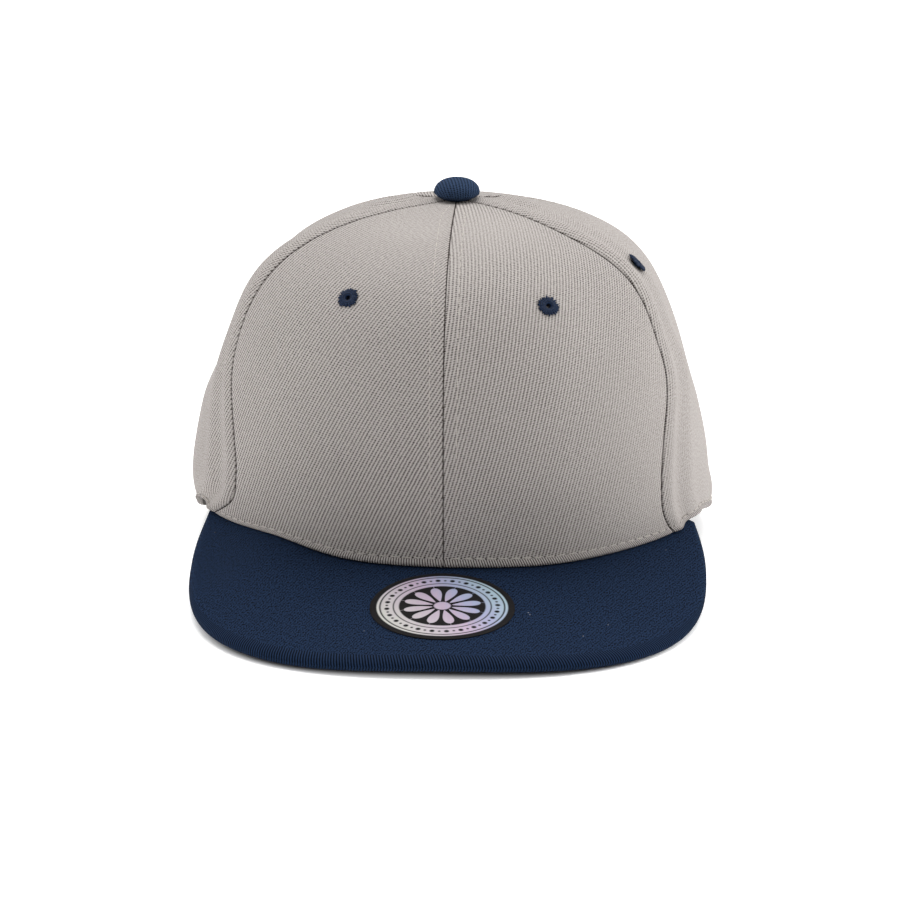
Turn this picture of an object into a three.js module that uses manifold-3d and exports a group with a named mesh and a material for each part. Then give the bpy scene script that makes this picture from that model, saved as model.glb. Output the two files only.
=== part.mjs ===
// A flat-brimmed cap of six cloth panels, lying on a table on its brim and its back hem.
// Millimetres, +Z up. The brim points to -Y. Left and right are those of someone who
// looks at the cap's front, so left is -X. Azimuth is measured round the crown's upright
// axis from the front, towards +X. The origin is the middle of the whole cap's footprint.

import * as THREE from 'three';
import { mergeVertices } from 'three/addons/utils/BufferGeometryUtils.js';
import Module from 'manifold-3d';

const wasm = await Module();
wasm.setup();

// Crown
const CROWN_WIDTH = 192; // over both side panels
const FRONT_REACH = 95; // from the crown's axis to the face of the front panels
const BACK_REACH = 91; // from the axis to the face of the back panels
const FRONT_ROUND = 2; // power of the plan curve in front, 2 is an ellipse
const BACK_ROUND = 2.25; // power of the plan curve behind
const CROWN_HEIGHT = 129.5; // from the table to the top of the cloth
const STRAIGHT_HEIGHT = 50; // the wall stands nearly upright up to here
const HEM_TUCK = 0.02; // share of its reach that the wall draws in at the hem
const CLOTH = 1.8; // thickness of a panel
const GAP = 0.3; // space left between neighbouring pieces
const TIP_RADIUS = 3; // round hole where the six tips meet, under the button

// Seams and eyelets, as degrees of azimuth on each side
const FRONT_SEAM = 57;
const BACK_SEAM = 118;
const EYELET_RADIUS = 3.65;
const EYELET_HOLE = 1.1;
const EYELET_NECK = 2;
const EYELET_FLANGE = 0.6;
const EYELET_LIFT = 0.5; // room between the ring's outer rim and the cloth, which bends
const EYELET_SLACK = 0.8; // the same on the inside, where it bends more

// Opening and strap at the back
const ARCH_WIDTH = 96;
const ARCH_HEIGHT = 58;
const STRAP_HEIGHT = 19;
const STRAP_THICKNESS = 1.6;
const STRAP_TUCK = 14; // how far each end runs on behind its back panel
const STRAP_LAP = 64; // length of the upper layer where the two tails lie on each other
const STUD_COUNT = 6;
const STUD_PITCH = 9.5;
const STUD_RADIUS = 2.2;
const STUD_RISE = 0.8;

// Brim
const BRIM_LENGTH = 73.2; // from the crown's face to the front edge, along the slope
const BRIM_WIDTH = 189;
const BRIM_NOSE = 94; // from the front edge back to the widest place
const BRIM_ROUND = 2.65; // power of the front curve
const BRIM_SLOPE = 7.5; // degrees that it falls towards the front
const BRIM_ARCH = 580; // radius of its slight arch from side to side
const BRIM_ASIDE = 2.5; // how far its front is sewn off to the right
const BRIM_SKEW = 2.8; // how far its right side is sewn back, and its left side forward
const BRIM_THICKNESS = 4.4;
const BRIM_CORNER = 70; // azimuth where the brim ends under the crown
const CORNER_OVERHANG = 1.5; // how far its corners stand out of the crown
const HEM_TURN = 76; // azimuth where the hem leaves the brim's slope and starts to fall
const HEM_FLAT_FROM = 55; // behind this distance from the axis the hem lies flat
const HEM_CURVE = { left: 2.6, right: 1.3 }; // power of its rise from there to the brim's corner

// Button and sticker
const BUTTON_WIDTH = 17.3;
const BUTTON_HEIGHT = 7.5;
const BUTTON_SHANK = 2.4;
const RIVET_RADIUS = 5.5;
const RIVET_THICKNESS = 1.5;
const STICKER_WIDTH = 50;
const STICKER_THICKNESS = 0.3;
const STICKER_AHEAD = 30; // from the crown's face to the sticker's middle, along the slope

// Fullness of the crown from the hem to the top, round one half: 2 is an ellipse's arc,
// and more is boxier, as the stiff front panels are
const FULLNESS = [
  { azimuth: 0, power: 3.2 },
  { azimuth: 57, power: 3.0 },
  { azimuth: 92, power: 1.95 },
  { azimuth: 135, power: 1.9 },
  { azimuth: 180, power: 1.9 },
];

// Unevenness of the brim where it is sewn on, as smooth swells. Aside and spread are shares
// of half its width, and rise is added to its slope.
const BRIM_SWELLS = [
  { aside: -0.67, spread: 0.2, rise: 0.038 },
  { aside: 0.42, spread: 0.25, rise: -0.012 },
  { aside: 0.95, spread: 0.2, rise: -0.013 },
];

// Dents and bulges of the soft cloth. Height and tall are shares of CROWN_HEIGHT, spread is
// in degrees, and push is a share of CROWN_WIDTH, outwards where it is positive.
const DENTS = [
  { place: 'left shoulder', azimuth: -103, height: 0.86, spread: 32, tall: 0.13, push: 0.01 },
  { place: 'right shoulder', azimuth: 105, height: 0.84, spread: 30, tall: 0.13, push: 0.019 },
  { place: 'left corner', azimuth: -75, height: 0.72, spread: 26, tall: 0.12, push: -0.009 },
  { place: 'right corner', azimuth: 75, height: 0.72, spread: 26, tall: 0.12, push: -0.024 },
  { place: 'left waist', azimuth: -98, height: 0.6, spread: 30, tall: 0.17, push: -0.031 },
  { place: 'right waist', azimuth: 98, height: 0.5, spread: 30, tall: 0.2, push: -0.037 },
  { place: 'left hem', azimuth: -95, height: 0.14, spread: 30, tall: 0.2, push: 0.026 },
  { place: 'left edge', azimuth: -93, height: 0.09, spread: 25, tall: 0.05, push: -0.008 },
  { place: 'right edge', azimuth: 97, height: 0.12, spread: 20, tall: 0.05, push: 0.009 },
  { place: 'front, over the brim', azimuth: 20, height: 0.25, spread: 13, tall: 0.09, push: -0.006 },
  { place: 'beside the right eyelet', azimuth: 42, height: 0.74, spread: 9, tall: 0.16, push: -0.005 },
];

// Sway of the front seams, in degrees outwards of FRONT_SEAM, by share of the way up
const SEAM_SWAY = [
  { share: 0, left: 8.7, right: 3.4 },
  { share: 0.08, left: 0.6, right: -0.4 },
  { share: 0.2, left: -1.8, right: -1.7 },
  { share: 0.33, left: -0.9, right: -0.9 },
  { share: 0.5, left: 3.3, right: 2.5 },
  { share: 0.65, left: 1.7, right: 0.4 },
  { share: 0.8, left: -0.2, right: -4.8 },
  { share: 1, left: -3.2, right: 0.5 },
];

// Eyelets: height is a share of CROWN_HEIGHT
const EYELETS = [
  { name: 'eyelet_front_left', panel: 'front_panel_left', azimuth: -26.8, height: 0.856 },
  { name: 'eyelet_front_right', panel: 'front_panel_right', azimuth: 27.2, height: 0.844 },
  { name: 'eyelet_side_left', panel: 'side_panel_left', azimuth: -88, height: 0.8 },
  { name: 'eyelet_side_right', panel: 'side_panel_right', azimuth: 70, height: 0.87 },
  { name: 'eyelet_back_left', panel: 'back_panel_left', azimuth: -150, height: 0.79 },
  { name: 'eyelet_back_right', panel: 'back_panel_right', azimuth: 150, height: 0.79 },
];

// Fineness of the facets
const PANEL_COLUMNS = 11;
const STRAIGHT_ROWS = 5;
const ROUND_ROWS = 15;
const BRIM_COLUMNS = 36;
const STRAP_COLUMNS = 22;
const ROUND_SIDES = 20;

const { lerp, clamp, degToRad } = THREE.MathUtils;
const UP = new THREE.Vector3(0, 0, 1);

const cloth = (color) => new THREE.MeshStandardMaterial({ color, roughness: 0.9, metalness: 0 });
const greyTwill = cloth(0xb4aca8);
const navyTwill = cloth(0x22304a);
const navyThread = cloth(0x1f2c44);
const navyPlastic = new THREE.MeshStandardMaterial({ color: 0x202c42, roughness: 0.4, metalness: 0 });
const foil = new THREE.MeshStandardMaterial({ color: 0xc9c9d4, roughness: 0.3, metalness: 0.7 });

// Makes one closed solid from corners and faces: shared corners are merged, flat faces that
// have lost a corner are dropped, and the faces are turned to point outwards.
function closedGeometry(positions, faces) {
  const loose = new THREE.BufferGeometry();
  loose.setAttribute('position', new THREE.Float32BufferAttribute(positions, 3));
  loose.setIndex(faces);
  const merged = mergeVertices(loose, 1e-4);
  const place = merged.getAttribute('position');
  const corner = (i) => new THREE.Vector3().fromBufferAttribute(place, i);
  const kept = [];
  let volume = 0;
  for (let i = 0; i < merged.index.count; i += 3) {
    const [a, b, c] = [0, 1, 2].map((k) => merged.index.getX(i + k));
    if (a !== b && b !== c && c !== a) {
      kept.push(a, b, c);
      volume += corner(a).dot(corner(b).cross(corner(c)));
    }
  }
  merged.setIndex(volume < 0 ? kept.reverse() : kept);
  return merged;
}

// A geometry of three.js, such as a cylinder, as a closed solid.
function closed(geometry) {
  const faces = geometry.index ? Array.from(geometry.index.array) : [];
  const positions = Array.from(geometry.getAttribute('position').array);
  if (faces.length === 0) {
    for (let i = 0; i < positions.length / 3; i += 1) {
      faces.push(i);
    }
  }
  return closedGeometry(positions, faces);
}

// A body given as loops of points, each loop with the same number of points. Neighbouring
// loops are joined, and the first and last are closed with a fan round their first point.
function loftedGeometry(loops) {
  const size = loops[0].length;
  const positions = loops.flat().flatMap((point) => point.toArray());
  const faces = [];
  for (let i = 0; i + 1 < loops.length; i += 1) {
    for (let j = 0; j < size; j += 1) {
      const [a, b] = [i * size + j, i * size + ((j + 1) % size)];
      faces.push(a, b, b + size, a, b + size, a + size);
    }
  }
  const last = (loops.length - 1) * size;
  for (let j = 1; j + 1 < size; j += 1) {
    faces.push(0, j + 1, j, last, last + j, last + j + 1);
  }
  return closedGeometry(positions, faces);
}

function toSolid(geometry) {
  return new wasm.Manifold(
    new wasm.Mesh({
      numProp: 3,
      vertProperties: Float32Array.from(geometry.getAttribute('position').array),
      triVerts: Uint32Array.from(geometry.index.array),
    }),
  );
}

function toGeometry(solid) {
  const mesh = solid.getMesh();
  const geometry = new THREE.BufferGeometry();
  geometry.setAttribute('position', new THREE.Float32BufferAttribute(mesh.vertProperties, 3));
  geometry.setIndex(Array.from(mesh.triVerts));
  return geometry;
}

// Length of the crown's plan from its axis, at an azimuth in degrees.
function planReach(azimuth) {
  const [across, along] = [Math.sin(degToRad(azimuth)), Math.cos(degToRad(azimuth))];
  const reach = along > 0 ? FRONT_REACH : BACK_REACH;
  const power = along > 0 ? FRONT_ROUND : BACK_ROUND;
  const sum = Math.abs(across / (CROWN_WIDTH / 2)) ** power + Math.abs(along / reach) ** power;
  return sum ** (-1 / power);
}

// Power of the crown's upright section at an azimuth, eased between the rows of FULLNESS.
function fullness(azimuth) {
  const turned = Math.abs(((azimuth + 540) % 360) - 180);
  const next = Math.max(1, FULLNESS.findIndex((row) => row.azimuth >= turned));
  const [from, to] = [FULLNESS[next - 1], FULLNESS[next]];
  return lerp(from.power, to.power, THREE.MathUtils.smoothstep(turned, from.azimuth, to.azimuth));
}

// Outline of the brim in plan, from its left corner round the front to its right corner.
const slope = degToRad(BRIM_SLOPE);
const brimFront = -FRONT_REACH - BRIM_LENGTH * Math.cos(slope);

function hemPlace(azimuth, overhang) {
  const reach = planReach(azimuth) * (1 - HEM_TUCK / 2) + overhang;
  return new THREE.Vector2(reach * Math.sin(degToRad(azimuth)), -reach * Math.cos(degToRad(azimuth)));
}

const brimCorner = hemPlace(BRIM_CORNER, CORNER_OVERHANG);
const hemTurn = hemPlace(HEM_TURN, 0);

function brimOutline() {
  const half = [];
  const widest = new THREE.Vector2(BRIM_WIDTH / 2, brimFront + BRIM_NOSE);
  const steps = 60;
  for (let i = 0; i <= steps; i += 1) {
    const angle = (Math.PI / 2) * (i / steps);
    const across = Math.sin(angle) ** (2 / BRIM_ROUND);
    const along = Math.cos(angle) ** (2 / BRIM_ROUND);
    half.push(new THREE.Vector2(widest.x * across, widest.y - BRIM_NOSE * along));
  }
  for (let i = 1; i <= steps / 2; i += 1) {
    const share = i / (steps / 2);
    const x = widest.x + (brimCorner.x - widest.x) * share ** 2;
    half.push(new THREE.Vector2(x, lerp(widest.y, brimCorner.y, share)));
  }
  const mirrored = half.slice(1).map((point) => new THREE.Vector2(-point.x, point.y));
  return [...mirrored.reverse(), ...half].map(({ x, y }) => {
    const ahead = clamp((brimCorner.y - y) / (brimCorner.y - brimFront), 0, 1);
    const back = (BRIM_SKEW * ahead * x) / (BRIM_WIDTH / 2);
    return new THREE.Vector2(x + BRIM_ASIDE * ahead, y + back);
  });
}

// Points spaced evenly along a line of points.
function evenly(line, count) {
  const lengths = [0];
  for (let i = 1; i < line.length; i += 1) {
    lengths.push(lengths[i - 1] + line[i].distanceTo(line[i - 1]));
  }
  const total = lengths[lengths.length - 1];
  return Array.from({ length: count }, (_, i) => {
    const wanted = (total * i) / (count - 1);
    const next = clamp(lengths.findIndex((length) => length >= wanted), 1, line.length - 1);
    const share = (wanted - lengths[next - 1]) / (lengths[next] - lengths[next - 1]);
    return line[next - 1].clone().lerp(line[next], clamp(share, 0, 1));
  });
}

// Rise of the brim's faces over a place in plan, before the brim is set down on the table.
function brimRise(x, y) {
  let rise = Math.tan(slope);
  for (const swell of BRIM_SWELLS) {
    rise += swell.rise * Math.exp(-(((x / (BRIM_WIDTH / 2) - swell.aside) / swell.spread) ** 2));
  }
  return (y - brimFront) * rise - x ** 2 / (2 * BRIM_ARCH);
}

const outline = evenly(brimOutline(), BRIM_COLUMNS + 1);
const lowest = Math.min(...outline.map((point) => brimRise(point.x, point.y)));
const brimTop = (x, y) => BRIM_THICKNESS - lowest + brimRise(x, y);

// Height of the crown's lower edge: on the brim in front, then falling to the table behind.
function hemHeight(x, y) {
  if (y < hemTurn.y) {
    return brimTop(x, y) + GAP;
  }
  const rise = clamp((HEM_FLAT_FROM - y) / (HEM_FLAT_FROM - hemTurn.y), 0, 1);
  const turnHeight = brimTop(Math.sign(x) * hemTurn.x, hemTurn.y) + GAP;
  return turnHeight * rise ** (x < 0 ? HEM_CURVE.left : HEM_CURVE.right);
}

// The crown's face. A share runs from 0 at the hem, through WALL_SHARE where the straight
// wall ends, to 1 at the top.
const roundHeight = CROWN_HEIGHT - STRAIGHT_HEIGHT;
const WALL_SHARE = STRAIGHT_HEIGHT / (STRAIGHT_HEIGHT + 1.3 * roundHeight);
const TIP_SHARE = 1 - ((TIP_RADIUS / FRONT_REACH) * (1 - WALL_SHARE)) / (Math.PI / 2);

// How far the dents push a point of the face out.
function dentPush(azimuth, height, reach) {
  let push = 0;
  for (const dent of DENTS) {
    const aside = (((azimuth - dent.azimuth + 540) % 360) - 180) / dent.spread;
    const above = (height / CROWN_HEIGHT - dent.height) / dent.tall;
    push += dent.push * CROWN_WIDTH * Math.exp(-(aside ** 2) - above ** 2);
  }
  const fade = Math.min(1, reach / (CROWN_WIDTH / 8));
  return push * fade;
}

function facePoint(azimuth, share) {
  const angle = degToRad(azimuth);
  const plan = planReach(azimuth);
  const power = fullness(azimuth);
  let reach = plan;
  let height = STRAIGHT_HEIGHT;
  if (share < WALL_SHARE) {
    const hem = hemHeight(plan * Math.sin(angle), -plan * Math.cos(angle));
    height = lerp(hem, STRAIGHT_HEIGHT, share / WALL_SHARE);
    reach *= 1 - HEM_TUCK * (1 - height / STRAIGHT_HEIGHT) ** 2;
  } else {
    const turn = ((share - WALL_SHARE) / (1 - WALL_SHARE)) * (Math.PI / 2);
    const stretch = (Math.cos(turn) ** power + Math.sin(turn) ** power) ** (-1 / power);
    reach *= Math.cos(turn) * stretch;
    height += roundHeight * Math.sin(turn) * stretch;
  }
  const point = new THREE.Vector3(reach * Math.sin(angle), -reach * Math.cos(angle), height);
  const outwards = new THREE.Vector3(
    point.x / (CROWN_WIDTH / 2) ** 2,
    point.y / FRONT_REACH ** 2,
    Math.max(0, height - STRAIGHT_HEIGHT) / roundHeight ** 2,
  ).normalize();
  return point.addScaledVector(outwards, dentPush(azimuth, height, reach));
}

// Share of the way up the face at which it has a given height, dents apart.
function shareAtHeight(azimuth, height) {
  if (height < STRAIGHT_HEIGHT) {
    return (WALL_SHARE * height) / STRAIGHT_HEIGHT;
  }
  const power = fullness(azimuth);
  const rise = (height - STRAIGHT_HEIGHT) / roundHeight;
  const turn = Math.atan2(rise, (1 - rise ** power) ** (1 / power));
  return lerp(WALL_SHARE, 1, turn / (Math.PI / 2));
}

// Outward direction of the face. It is level at the hem, so that the hem is cut off flat.
function faceNormal(azimuth, share) {
  const step = 0.2;
  const along = facePoint(azimuth + step, share).sub(facePoint(azimuth - step, share));
  const low = Math.max(0, share - step / 100);
  const up = facePoint(azimuth, low + step / 50).sub(facePoint(azimuth, low));
  const normal = along.cross(up);
  normal.z *= clamp((2 * share) / WALL_SHARE, 0, 1);
  return normal.normalize();
}

// A point inside the face by a given depth. At the hem it is brought to the hem's height.
function wallPoint(azimuth, share, depth) {
  const point = facePoint(azimuth, share).addScaledVector(faceNormal(azimuth, share), -depth);
  if (share === 0) {
    point.z = hemHeight(point.x, point.y);
  }
  return point;
}

// An azimuth moved by the sway of the front seam on its side. The move is whole at the seam
// and fades to nothing at the centre seam and at the back seam.
function swayed(azimuth, share) {
  const next = Math.max(1, SEAM_SWAY.findIndex((row) => row.share >= share));
  const [low, high] = [SEAM_SWAY[next - 1], SEAM_SWAY[next]];
  const side = azimuth < 0 ? 'left' : 'right';
  const sway = lerp(low[side], high[side], (share - low.share) / (high.share - low.share));
  const away = Math.abs(azimuth);
  const fade = Math.min(away / FRONT_SEAM, (BACK_SEAM - away) / (BACK_SEAM - FRONT_SEAM));
  return azimuth + Math.sign(azimuth) * sway * Math.max(0, fade);
}

// A piece of wall between two azimuths, two depths and a list of shares. The ends are drawn
// in by half a gap where it meets its neighbours at a seam.
function wallGeometry({ from, to, shares, depths, columns, inset }) {
  const loops = [];
  for (let i = 0; i <= columns; i += 1) {
    const edge = (share, depth) => {
      const face = wallPoint(lerp(from, to, i / columns), share, 0);
      const aside = THREE.MathUtils.radToDeg(inset / Math.hypot(face.x, face.y));
      const azimuth = lerp(from + aside, to - aside, i / columns);
      return wallPoint(swayed(azimuth, share), share, depth);
    };
    const outer = shares.map((share) => edge(share, depths[0]));
    const inner = shares.map((share) => edge(share, depths[1])).reverse();
    loops.push([...outer, ...inner]);
  }
  return stripGeometry(loops, shares.length);
}

// As loftedGeometry, for loops of two facing rows of points: the ends are closed with a
// strip of facets between the rows, because a curved end can't be closed with a fan.
function stripGeometry(loops, rows) {
  const size = rows * 2;
  const positions = loops.flat().flatMap((point) => point.toArray());
  const faces = [];
  for (let i = 0; i + 1 < loops.length; i += 1) {
    for (let j = 0; j < size; j += 1) {
      const [a, b] = [i * size + j, i * size + ((j + 1) % size)];
      faces.push(a, b, b + size, a, b + size, a + size);
    }
  }
  const last = (loops.length - 1) * size;
  for (let j = 0; j + 1 < rows; j += 1) {
    const [a, b, c, d] = [j, j + 1, size - 2 - j, size - 1 - j];
    faces.push(a, c, b, a, d, c, last + a, last + b, last + c, last + a, last + c, last + d);
  }
  return closedGeometry(positions, faces);
}

function panelShares() {
  const rows = (from, to, count) => Array.from({ length: count }, (_, i) => lerp(from, to, i / count));
  return [...rows(0, WALL_SHARE, STRAIGHT_ROWS), ...rows(WALL_SHARE, TIP_SHARE, ROUND_ROWS), TIP_SHARE];
}

// Turns a geometry that stands round the Y axis, as lathes and cylinders do, up to +Z.
const upright = (geometry) => geometry.rotateX(Math.PI / 2);

// Place of an eyelet on the face, and the turn from +Z to the face's outward direction.
function eyeletPlace({ azimuth, height }) {
  const share = shareAtHeight(azimuth, height * CROWN_HEIGHT);
  return {
    point: facePoint(azimuth, share),
    turn: new THREE.Quaternion().setFromUnitVectors(UP, faceNormal(azimuth, share)),
  };
}

function eyeletCutter(eyelet) {
  const { point, turn } = eyeletPlace(eyelet);
  const radius = EYELET_NECK + GAP;
  const cutter = upright(new THREE.CylinderGeometry(radius, radius, CLOTH * 6, ROUND_SIDES));
  return toSolid(closed(cutter.applyQuaternion(turn).translate(...point.toArray())));
}

// The half-moon opening, as a bar that runs through the back panels along Y.
function archCutter() {
  const shape = new THREE.Shape();
  shape.moveTo(-ARCH_WIDTH / 2, -BRIM_THICKNESS);
  shape.lineTo(ARCH_WIDTH / 2, -BRIM_THICKNESS);
  shape.lineTo(ARCH_WIDTH / 2, 0);
  shape.absellipse(0, 0, ARCH_WIDTH / 2, ARCH_HEIGHT, 0, Math.PI, false, 0);
  const options = { depth: BACK_REACH, bevelEnabled: false, curveSegments: 16 };
  const bar = new THREE.ExtrudeGeometry(shape, options);
  return toSolid(closed(upright(bar).translate(0, BACK_REACH * 1.4, 0)));
}

function panel(name, from, to) {
  let solid = toSolid(
    wallGeometry({
      from,
      to,
      shares: panelShares(),
      depths: [0, CLOTH],
      columns: PANEL_COLUMNS,
      inset: GAP / 2,
    }),
  );
  for (const eyelet of EYELETS.filter((row) => row.panel === name)) {
    solid = solid.subtract(eyeletCutter(eyelet));
  }
  if (name.startsWith('back')) {
    solid = solid.subtract(archCutter());
  }
  return named(name, toGeometry(solid), greyTwill);
}

function named(name, geometry, material) {
  const mesh = new THREE.Mesh(geometry, material);
  mesh.name = name;
  return mesh;
}

// One ring of thread round each hole: a rim on each face, and a neck through the cloth.
function eyelet(row) {
  const top = EYELET_LIFT + EYELET_FLANGE;
  const inside = -CLOTH - EYELET_SLACK;
  const bottom = inside - EYELET_FLANGE;
  const profile = [
    [EYELET_HOLE, bottom],
    [EYELET_RADIUS - EYELET_FLANGE, bottom],
    [EYELET_RADIUS, bottom + EYELET_FLANGE / 2],
    [EYELET_RADIUS, inside],
    [EYELET_NECK, inside],
    [EYELET_NECK, EYELET_LIFT],
    [EYELET_RADIUS, EYELET_LIFT],
    [EYELET_RADIUS, top - EYELET_FLANGE / 2],
    [EYELET_RADIUS - EYELET_FLANGE, top],
    [EYELET_HOLE, top],
    [EYELET_HOLE, bottom],
  ].map(([radius, height]) => new THREE.Vector2(radius, height));
  const ring = named(row.name, closed(upright(new THREE.LatheGeometry(profile, 12))), navyThread);
  const { point, turn } = eyeletPlace(row);
  ring.position.copy(point);
  ring.quaternion.copy(turn);
  return ring;
}

// The covered button, with the shank and rivet head that hold it in the crown's top.
function button() {
  const rivetTop = -CLOTH - 1.4 * GAP;
  const profile = [
    [0, rivetTop - RIVET_THICKNESS],
    [RIVET_RADIUS, rivetTop - RIVET_THICKNESS],
    [RIVET_RADIUS, rivetTop],
    [BUTTON_SHANK, rivetTop],
    [BUTTON_SHANK, GAP],
    [BUTTON_WIDTH * 0.42, GAP],
  ].map(([radius, height]) => new THREE.Vector2(radius, height));
  const steps = 7;
  const swell = 0.3 * BUTTON_HEIGHT;
  for (let i = 0; i <= steps; i += 1) {
    const turn = (Math.PI / 2) * (i / steps);
    const height = GAP + swell + (BUTTON_HEIGHT - swell) * Math.sin(turn);
    profile.push(new THREE.Vector2((BUTTON_WIDTH / 2) * Math.cos(turn) ** 0.8, height));
  }
  profile[profile.length - 1].x = 0;
  const mesh = named('button', closed(upright(new THREE.LatheGeometry(profile, ROUND_SIDES))), navyTwill);
  mesh.position.set(0, 0, CROWN_HEIGHT);
  return mesh;
}

// The brim runs in under the front of the crown as far as the wall's inside. Each section
// goes out along its top, round its rolled edge and back underneath.
function brim() {
  const radius = BRIM_THICKNESS / 2;
  const azimuths = Array.from({ length: 91 }, (_, i) => lerp(-BRIM_CORNER, BRIM_CORNER, i / 90));
  const insideLine = azimuths.map((azimuth) => {
    const point = wallPoint(azimuth, 0, CLOTH);
    return new THREE.Vector2(point.x, point.y);
  });
  const inside = evenly(insideLine, outline.length);
  const loops = outline.map((outer, i) => {
    const length = outer.distanceTo(inside[i]);
    const flat = length - radius;
    const at = (distance, drop) => {
      const place = inside[i].clone().lerp(outer, distance / length);
      return new THREE.Vector3(place.x, place.y, brimTop(place.x, place.y) - drop);
    };
    const top = [0, 1 / 3, 2 / 3, 1].map((share) => at(flat * share, 0));
    const edge = [45, 0, -45].map((angle) => {
      const turn = degToRad(angle);
      return at(flat + radius * Math.cos(turn), radius - radius * Math.sin(turn));
    });
    const bottom = [1, 0.5, 0].map((share) => at(flat * share, BRIM_THICKNESS));
    return [...top, ...edge, ...bottom];
  });
  return named('brim', loftedGeometry(loops), navyTwill);
}

// The closed snap strap: one band across the opening, a second layer where the tails lie on
// each other, and the studs that stand through it.
function snapStrap() {
  const topShare = shareAtHeight(180, STRAP_HEIGHT);
  const degreesOf = (length) => THREE.MathUtils.radToDeg(length / BACK_REACH);
  const layer = (halfLength, depth, columns) =>
    toSolid(
      wallGeometry({
        from: 180 - degreesOf(halfLength),
        to: 180 + degreesOf(halfLength),
        shares: [0, topShare / 2, topShare],
        depths: [depth, depth + STRAP_THICKNESS],
        columns,
        inset: 0,
      }),
    );
  const depth = CLOTH + GAP;
  const lift = STRAP_THICKNESS * 0.9;
  let solid = layer(ARCH_WIDTH / 2 + STRAP_TUCK, depth, STRAP_COLUMNS);
  solid = solid.add(layer(STRAP_LAP / 2, depth - lift, STRAP_COLUMNS / 2));
  for (let i = 0; i < STUD_COUNT; i += 1) {
    const azimuth = 180 + degreesOf((i - (STUD_COUNT - 1) / 2) * STUD_PITCH);
    const point = wallPoint(azimuth, topShare / 2, depth - lift);
    const turn = new THREE.Quaternion().setFromUnitVectors(UP, faceNormal(azimuth, topShare / 2));
    const stud = upright(new THREE.CylinderGeometry(STUD_RADIUS, STUD_RADIUS, STUD_RISE * 2, 10));
    solid = solid.add(toSolid(closed(stud.applyQuaternion(turn).translate(...point.toArray()))));
  }
  return named('snap_strap', toGeometry(solid), navyPlastic);
}

// The round sticker follows the brim's arch.
function sticker() {
  const middle = -FRONT_REACH - STICKER_AHEAD * Math.cos(slope);
  const sides = 32;
  const radius = STICKER_WIDTH / 2;
  const at = (share, i, height) => {
    const turn = (2 * Math.PI * i) / sides;
    const [x, y] = [radius * share * Math.cos(turn), middle + radius * share * Math.sin(turn)];
    return new THREE.Vector3(x, y, brimTop(x, y) + height);
  };
  const ring = (share, height) => Array.from({ length: sides }, (_, i) => at(share, i, height));
  const [low, high] = [GAP * 0.7, GAP * 0.7 + STICKER_THICKNESS];
  const rings = [ring(0, low), ring(0.5, low), ring(1, low), ring(1, high), ring(0.5, high), ring(0, high)];
  return named('sticker', loftedGeometry(rings), foil);
}

// Group
const pieces = new THREE.Group();
pieces.add(
  panel('front_panel_left', -FRONT_SEAM, 0),
  panel('front_panel_right', 0, FRONT_SEAM),
  panel('side_panel_left', -BACK_SEAM, -FRONT_SEAM),
  panel('side_panel_right', FRONT_SEAM, BACK_SEAM),
  panel('back_panel_left', -180, -BACK_SEAM),
  panel('back_panel_right', BACK_SEAM, 180),
  brim(),
  button(),
  ...EYELETS.map(eyelet),
  snapStrap(),
  sticker(),
);

// The whole is moved so that the origin is the middle of its footprint, on the table.
pieces.updateMatrixWorld(true);
const box = new THREE.Box3().setFromObject(pieces, true);
const middle = box.getCenter(new THREE.Vector3());
pieces.position.set(-middle.x, -middle.y, -box.min.z);

const snapbackCap = new THREE.Group();
snapbackCap.add(pieces);

export default snapbackCap;
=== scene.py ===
# %% [markdown]
# # A flat-brimmed cap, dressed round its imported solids
# The solids come in as a fixed frame, in metres, with +Z up and the brim pointing to -Y. Every
# piece below is worked out in millimetres round the crown's own upright axis, because that is
# how a cap is measured, and is moved into the frame when its mesh is made.

# %% The frame
import math
import bmesh
import bpy
import numpy as np
from mathutils import Matrix


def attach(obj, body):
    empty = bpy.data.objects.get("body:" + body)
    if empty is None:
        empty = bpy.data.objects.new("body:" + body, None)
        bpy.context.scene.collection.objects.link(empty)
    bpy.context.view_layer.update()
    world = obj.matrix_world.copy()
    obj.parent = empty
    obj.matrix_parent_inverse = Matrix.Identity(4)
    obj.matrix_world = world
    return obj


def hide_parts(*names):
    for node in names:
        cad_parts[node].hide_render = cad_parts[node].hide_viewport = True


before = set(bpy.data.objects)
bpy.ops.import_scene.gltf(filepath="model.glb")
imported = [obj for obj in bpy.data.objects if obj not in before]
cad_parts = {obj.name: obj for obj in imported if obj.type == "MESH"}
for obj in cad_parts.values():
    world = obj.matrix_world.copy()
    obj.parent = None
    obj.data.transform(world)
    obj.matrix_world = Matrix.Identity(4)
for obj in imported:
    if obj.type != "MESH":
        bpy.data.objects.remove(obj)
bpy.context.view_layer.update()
CROWN_AXIS = np.array([1.859, 38.697, 0.0])  # the crown's axis in the frame, in mm

# %% [markdown]
# ## The camera
# The photograph looks down on the cap from 17 degrees, from far off and with a long lens, so
# that the lines hardly converge. The cap's middle sits a little above the picture's middle,
# which a small shift of the lens gives without turning the camera.

# %% The camera
AZIMUTH, ELEVATION, DISTANCE = math.radians(3.0), math.radians(17.0), 2.2
LENS, SENSOR, PICTURE = 234.0, 36.0, 900
TARGET = (CROWN_AXIS + (0, 0, 60)) / 1000
TARGET_PIXEL = (456.9, 376.9)

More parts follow.
